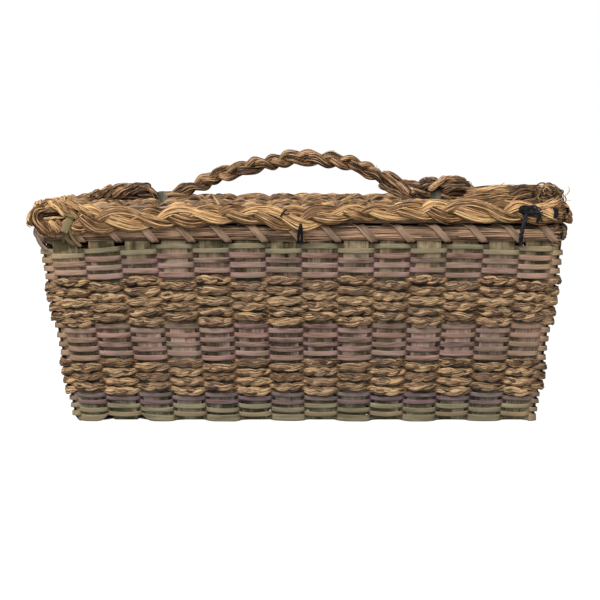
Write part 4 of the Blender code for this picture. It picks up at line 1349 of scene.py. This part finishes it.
def build_handle():
    """The braid, the stems that lie on its right leg, and the knots and cut ends that the lid holds."""
    strands = Strands("handle_rope_braid")
    rng = strands.rng
    path = curve([on_plane(pixel, 0.0) for pixel in HANDLE_PIXELS], HANDLE_STEP)
    t = np.linspace(0, 1, len(path))
    across, out = sideways(path, FORWARDS)
    turn = (HANDLE_TURN + drift(rng, t, *HANDLE_TURN_WANDER))[:, None]
    across, out = across * np.cos(turn) - out * np.sin(turn), out * np.cos(turn) + across * np.sin(turn)
    wide = HANDLE_WIDE * (1 + drift(rng, t, *HANDLE_WANDER))
    wide = wide * np.interp(path[:, 0], HANDLE_PLACES, HANDLE_SHARES)
    # The braid's cores take the deepest painted shade, in the grooves between its blades
    ways = {"core_shade": DEEP_SHADE, "full": HANDLE_FULL, **HANDLE_BRAID}
    strands.braid(path, across, out, wide, wide * HANDLE_FLATNESS, **ways)
    strands.piece("handle_braid", "handle", "handle_rope")
    # The leg's cores take the deepest painted shade and the knots' cores a darker painted shade
    draw_bundles("handle_leg_right", "handle_braid", "handle", HANDLE_LEG, "handle_rope", core=DEEP_SHADE)
    draw_bundles("knot_left", "handle_braid", "lid", KNOT_LEFT, "handle_rope", core=DARK_SHADE)
    draw_bundles("stub_left", "handle_braid", "lid", STUB_LEFT, "handle_rope", spread=0.8, uneven=0.3)
    draw_bundles("knot_right", "handle_braid", "lid", KNOT_RIGHT, "handle_rope", core=DARK_SHADE)
    ends = {"spread": 0.9, "uneven": 0.3}
    draw_bundles("knot_end_right", "handle_braid", "lid", KNOT_END_RIGHT, "handle_rope", **ends)


# The thread at the right: its plane, its line in pixels and its strands
THREAD_PLANE = -0.1000
THREAD_RIGHT = (
    (525, 208), (525.4, 215), (524.6, 222), (522.4, 230), (521, 238, 0.0024), (520.8, 245, 0.0044),
)
THREAD_BRAID = {"width": 0.0027, "depth": 0.0024, "period": 0.0085, "twist": 1.0, "weave": 0.0}
# The lump of thread on it: centre, width and height in pixels, and how many turns
THREAD_LUMP = ((528.5, 210.4), 8.5, 4.4, 34)
LUMP_TURNS = (0.4, 0.9)
LUMP_POINTS = 18
LUMP_SHARES = (0.2, 0.8)
LUMP_SCATTER = (3.4, 1.0)
LUMP_PLANES = (-0.1010, -0.0985)
LUMP_THREAD = (0.0009, 0.0008)


def blend_over_hinge(piece):
    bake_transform(piece)


def build_ties():
    """The splint tie at the left and the thread at the middle and the right, from the lid to the rim."""
    blend_over_hinge(draw_strips("tie_left", "tie_splint", None, TIE_LEFT, "tie_splint_left"))
    blend_over_hinge(
        draw_strips("tie_middle", "black_thread", None, TIE_MIDDLE, "tie_thread_middle", THREAD_THICK)
    )
    strands = Strands("tie_right")
    strands.braid(*draw(THREAD_PLANE, THREAD_RIGHT), **THREAD_BRAID)
    blend_over_hinge(strands.piece("black_thread", None, "tie_thread_right"))
    draw_strips("thread_stitches", "black_thread", "lid", THREAD_STITCHES, "tie_thread_right", THREAD_THICK)
    strands = Strands("thread_lump_right")
    rng = strands.rng
    centre, wide, tall, count = THREAD_LUMP
    for _ in range(count):
        turn = part_turn(rng, LUMP_TURNS, LUMP_POINTS)
        size = pixel_size(THREAD_PLANE) * rng.uniform(*LUMP_SHARES)
        start = on_plane(np.array(centre) + rng.normal(0, 1, 2) * LUMP_SCATTER, rng.uniform(*LUMP_PLANES))
        path = start + np.stack((np.cos(turn) * wide * size, turn * 0, np.sin(turn) * tall * size), -1)
        strands.add(path, *sideways(path, FORWARDS), *LUMP_THREAD, BLADE)
    strands.piece("black_thread", "lid", "tie_thread_right")


# Stray fibres: name, slot, body, strips, node and thickness
FIBRES = (
    ("stray_fibres_lid", "border_plait", "lid", FIBRES_LID, "lid_border", 0.0004),
    ("stray_fibres_handle", "handle_braid", "handle", FIBRES_HANDLE, "handle_rope", 0.0003),
)


def build_fibres():
    for fibres in FIBRES:
        draw_strips(*fibres, tip=True)


# The loops' middles in the photograph, and a loop's line: forwards and up from there, in its radius
LOOP_PIXELS = ((163.0, 196.4), (435.0, 195.6))
LOOP_RADIUS = 0.0028
LOOP_LINE = (
    (-2.4, -1.05), (-1.5, -1.0), (-1.05, 0.0), (-0.7, 0.75), (0.0, 1.0),
    (0.7, 0.75), (1.05, 0.0), (1.5, -1.0), (2.4, -1.05),
)
# Its two turns, with their shades, how wide they are and how far apart their points lie
LOOP_TURNS = ((-0.0014, 0.3), (0.0016, 0.8))
LOOP_WIDE = 0.0036
LOOP_STEP = 0.0006


def build_loops():
    """Two turns of flat splint over each end of the handle, tucked into the lid."""
    for side, pixel in zip(("left", "right"), LOOP_PIXELS):
        strands = Strands(f"loop_{side}")
        centre = on_plane(pixel, 0.0)
        for shift, shade in LOOP_TURNS:
            line = np.array([(shift / LOOP_RADIUS, y, z) for y, z in LOOP_LINE])
            path = curve(centre + LOOP_RADIUS * line, LOOP_STEP)
            out = unit((path - centre) * (0, 1, 1))
            strands.add(path, RIGHTWARDS, out, LOOP_WIDE, BINDER_THICK, STRIP, shade)
        strands.piece("loop_splint", "lid", f"handle_loop_{side}")


# Floor, light and camera
FLOOR_SIZE = 12
FLOOR_GREY = (0.28, 0.28, 0.28, 1)
FLOOR_ROUGHNESS = 0.9
WHITE = (1, 1, 1, 1)
SHADOW_GREY = (0.9, 0.9, 0.9, 1)
# How brightly the floor shows to the camera, and the share of it that takes shadows
FLOOR_GLOW = 1.08
SHADOW_SHARE = 0.10
# The sky's strength from this far below the horizon up to its top; the camera sees it white
SKY_FROM = -0.2
SKY_LOW = 0.20
SKY_HIGH = 1.10
# Lamps: name, place, size and power, and the point that they face
LAMPS = (
    ("key", (-0.9, -1.2, 1.8), 1.0, 60),
    ("fill", (0.1, -1.9, 0.9), 1.4, 22),
)
LIT_POINT = Vector((0, 0, 0.08))


def build_floor():
    """A plain floor, which the camera sees white with a faint shadow."""
    bpy.ops.mesh.primitive_plane_add(size=FLOOR_SIZE)
    floor = bpy.context.active_object
    floor.name = "floor"
    material = bpy.data.materials.new("floor")
    graph = Graph(material)
    graph.put(graph.inputs["Base Color"], FLOOR_GREY)
    graph.put(graph.inputs["Roughness"], FLOOR_ROUGHNESS)
    white = graph.add("Emission", {"Color": WHITE, "Strength": FLOOR_GLOW})
    shadow = graph.add("BsdfDiffuse", {"Color": SHADOW_GREY})
    seen = graph.add("MixShader", {0: SHADOW_SHARE, 1: white, 2: shadow})
    plain = graph.tree.nodes["Principled BSDF"].outputs[0]
    mixed = graph.add("MixShader", {0: graph.add("LightPath", output="Is Camera Ray"), 1: plain, 2: seen})
    graph.put(graph.tree.nodes["Material Output"].inputs["Surface"], mixed)
    floor.data.materials.append(material)


def build_sky():
    """A sky that is white to the camera and darker towards the ground."""
    world = bpy.data.worlds.new("studio")
    bpy.context.scene.world = world
    graph = Graph(world, "Background")
    height = graph.add("SeparateXYZ", {0: graph.add("TexCoord", output="Generated")}, output="Z")
    ends = {"From Min": SKY_FROM, "To Min": SKY_LOW, "To Max": SKY_HIGH}
    low = graph.add("MapRange", {"Value": height, **ends})
    seen = [graph.add("LightPath", output=f"Is {kind} Ray") for kind in ("Camera", "Transmission")]
    strength = graph.add("MapRange", {"Value": graph.maths("MAXIMUM", *seen), "To Min": low, "To Max": 1.0})
    graph.put(graph.inputs["Color"], WHITE)
    graph.put(graph.inputs["Strength"], strength)


def build_stage():
    build_floor()
    build_sky()
    for name, place, size, power in LAMPS:
        data = bpy.data.lights.new(name, "AREA")
        data.size = size
        data.energy = power
        lamp = link_object(name, data)
        lamp.location = place
        lamp.rotation_euler = (LIT_POINT - Vector(place)).to_track_quat("-Z", "Y").to_euler()
    data = bpy.data.cameras.new("camera")
    data.sensor_width = SENSOR
    data.lens = LENS_PIXELS * SENSOR / FRAME_PIXELS
    camera = link_object("camera", data)
    camera.location = CAMERA_AT
    camera.rotation_euler = (pi / 2 - CAMERA_TILT, 0, 0)
    bpy.context.scene.camera = camera
    bpy.context.scene.view_settings.view_transform = "Standard"


materials = make_materials()
build_wall()
build_stakes()
build_rim_bundle()
build_rim_hoop()
build_lashing()
build_lid_hoop()
build_lid_weave()
build_lid_stakes()
build_border()
build_corners()
build_coils()
build_brushes()
build_handle()
build_loops()
build_ties()
build_fibres()
build_stage()
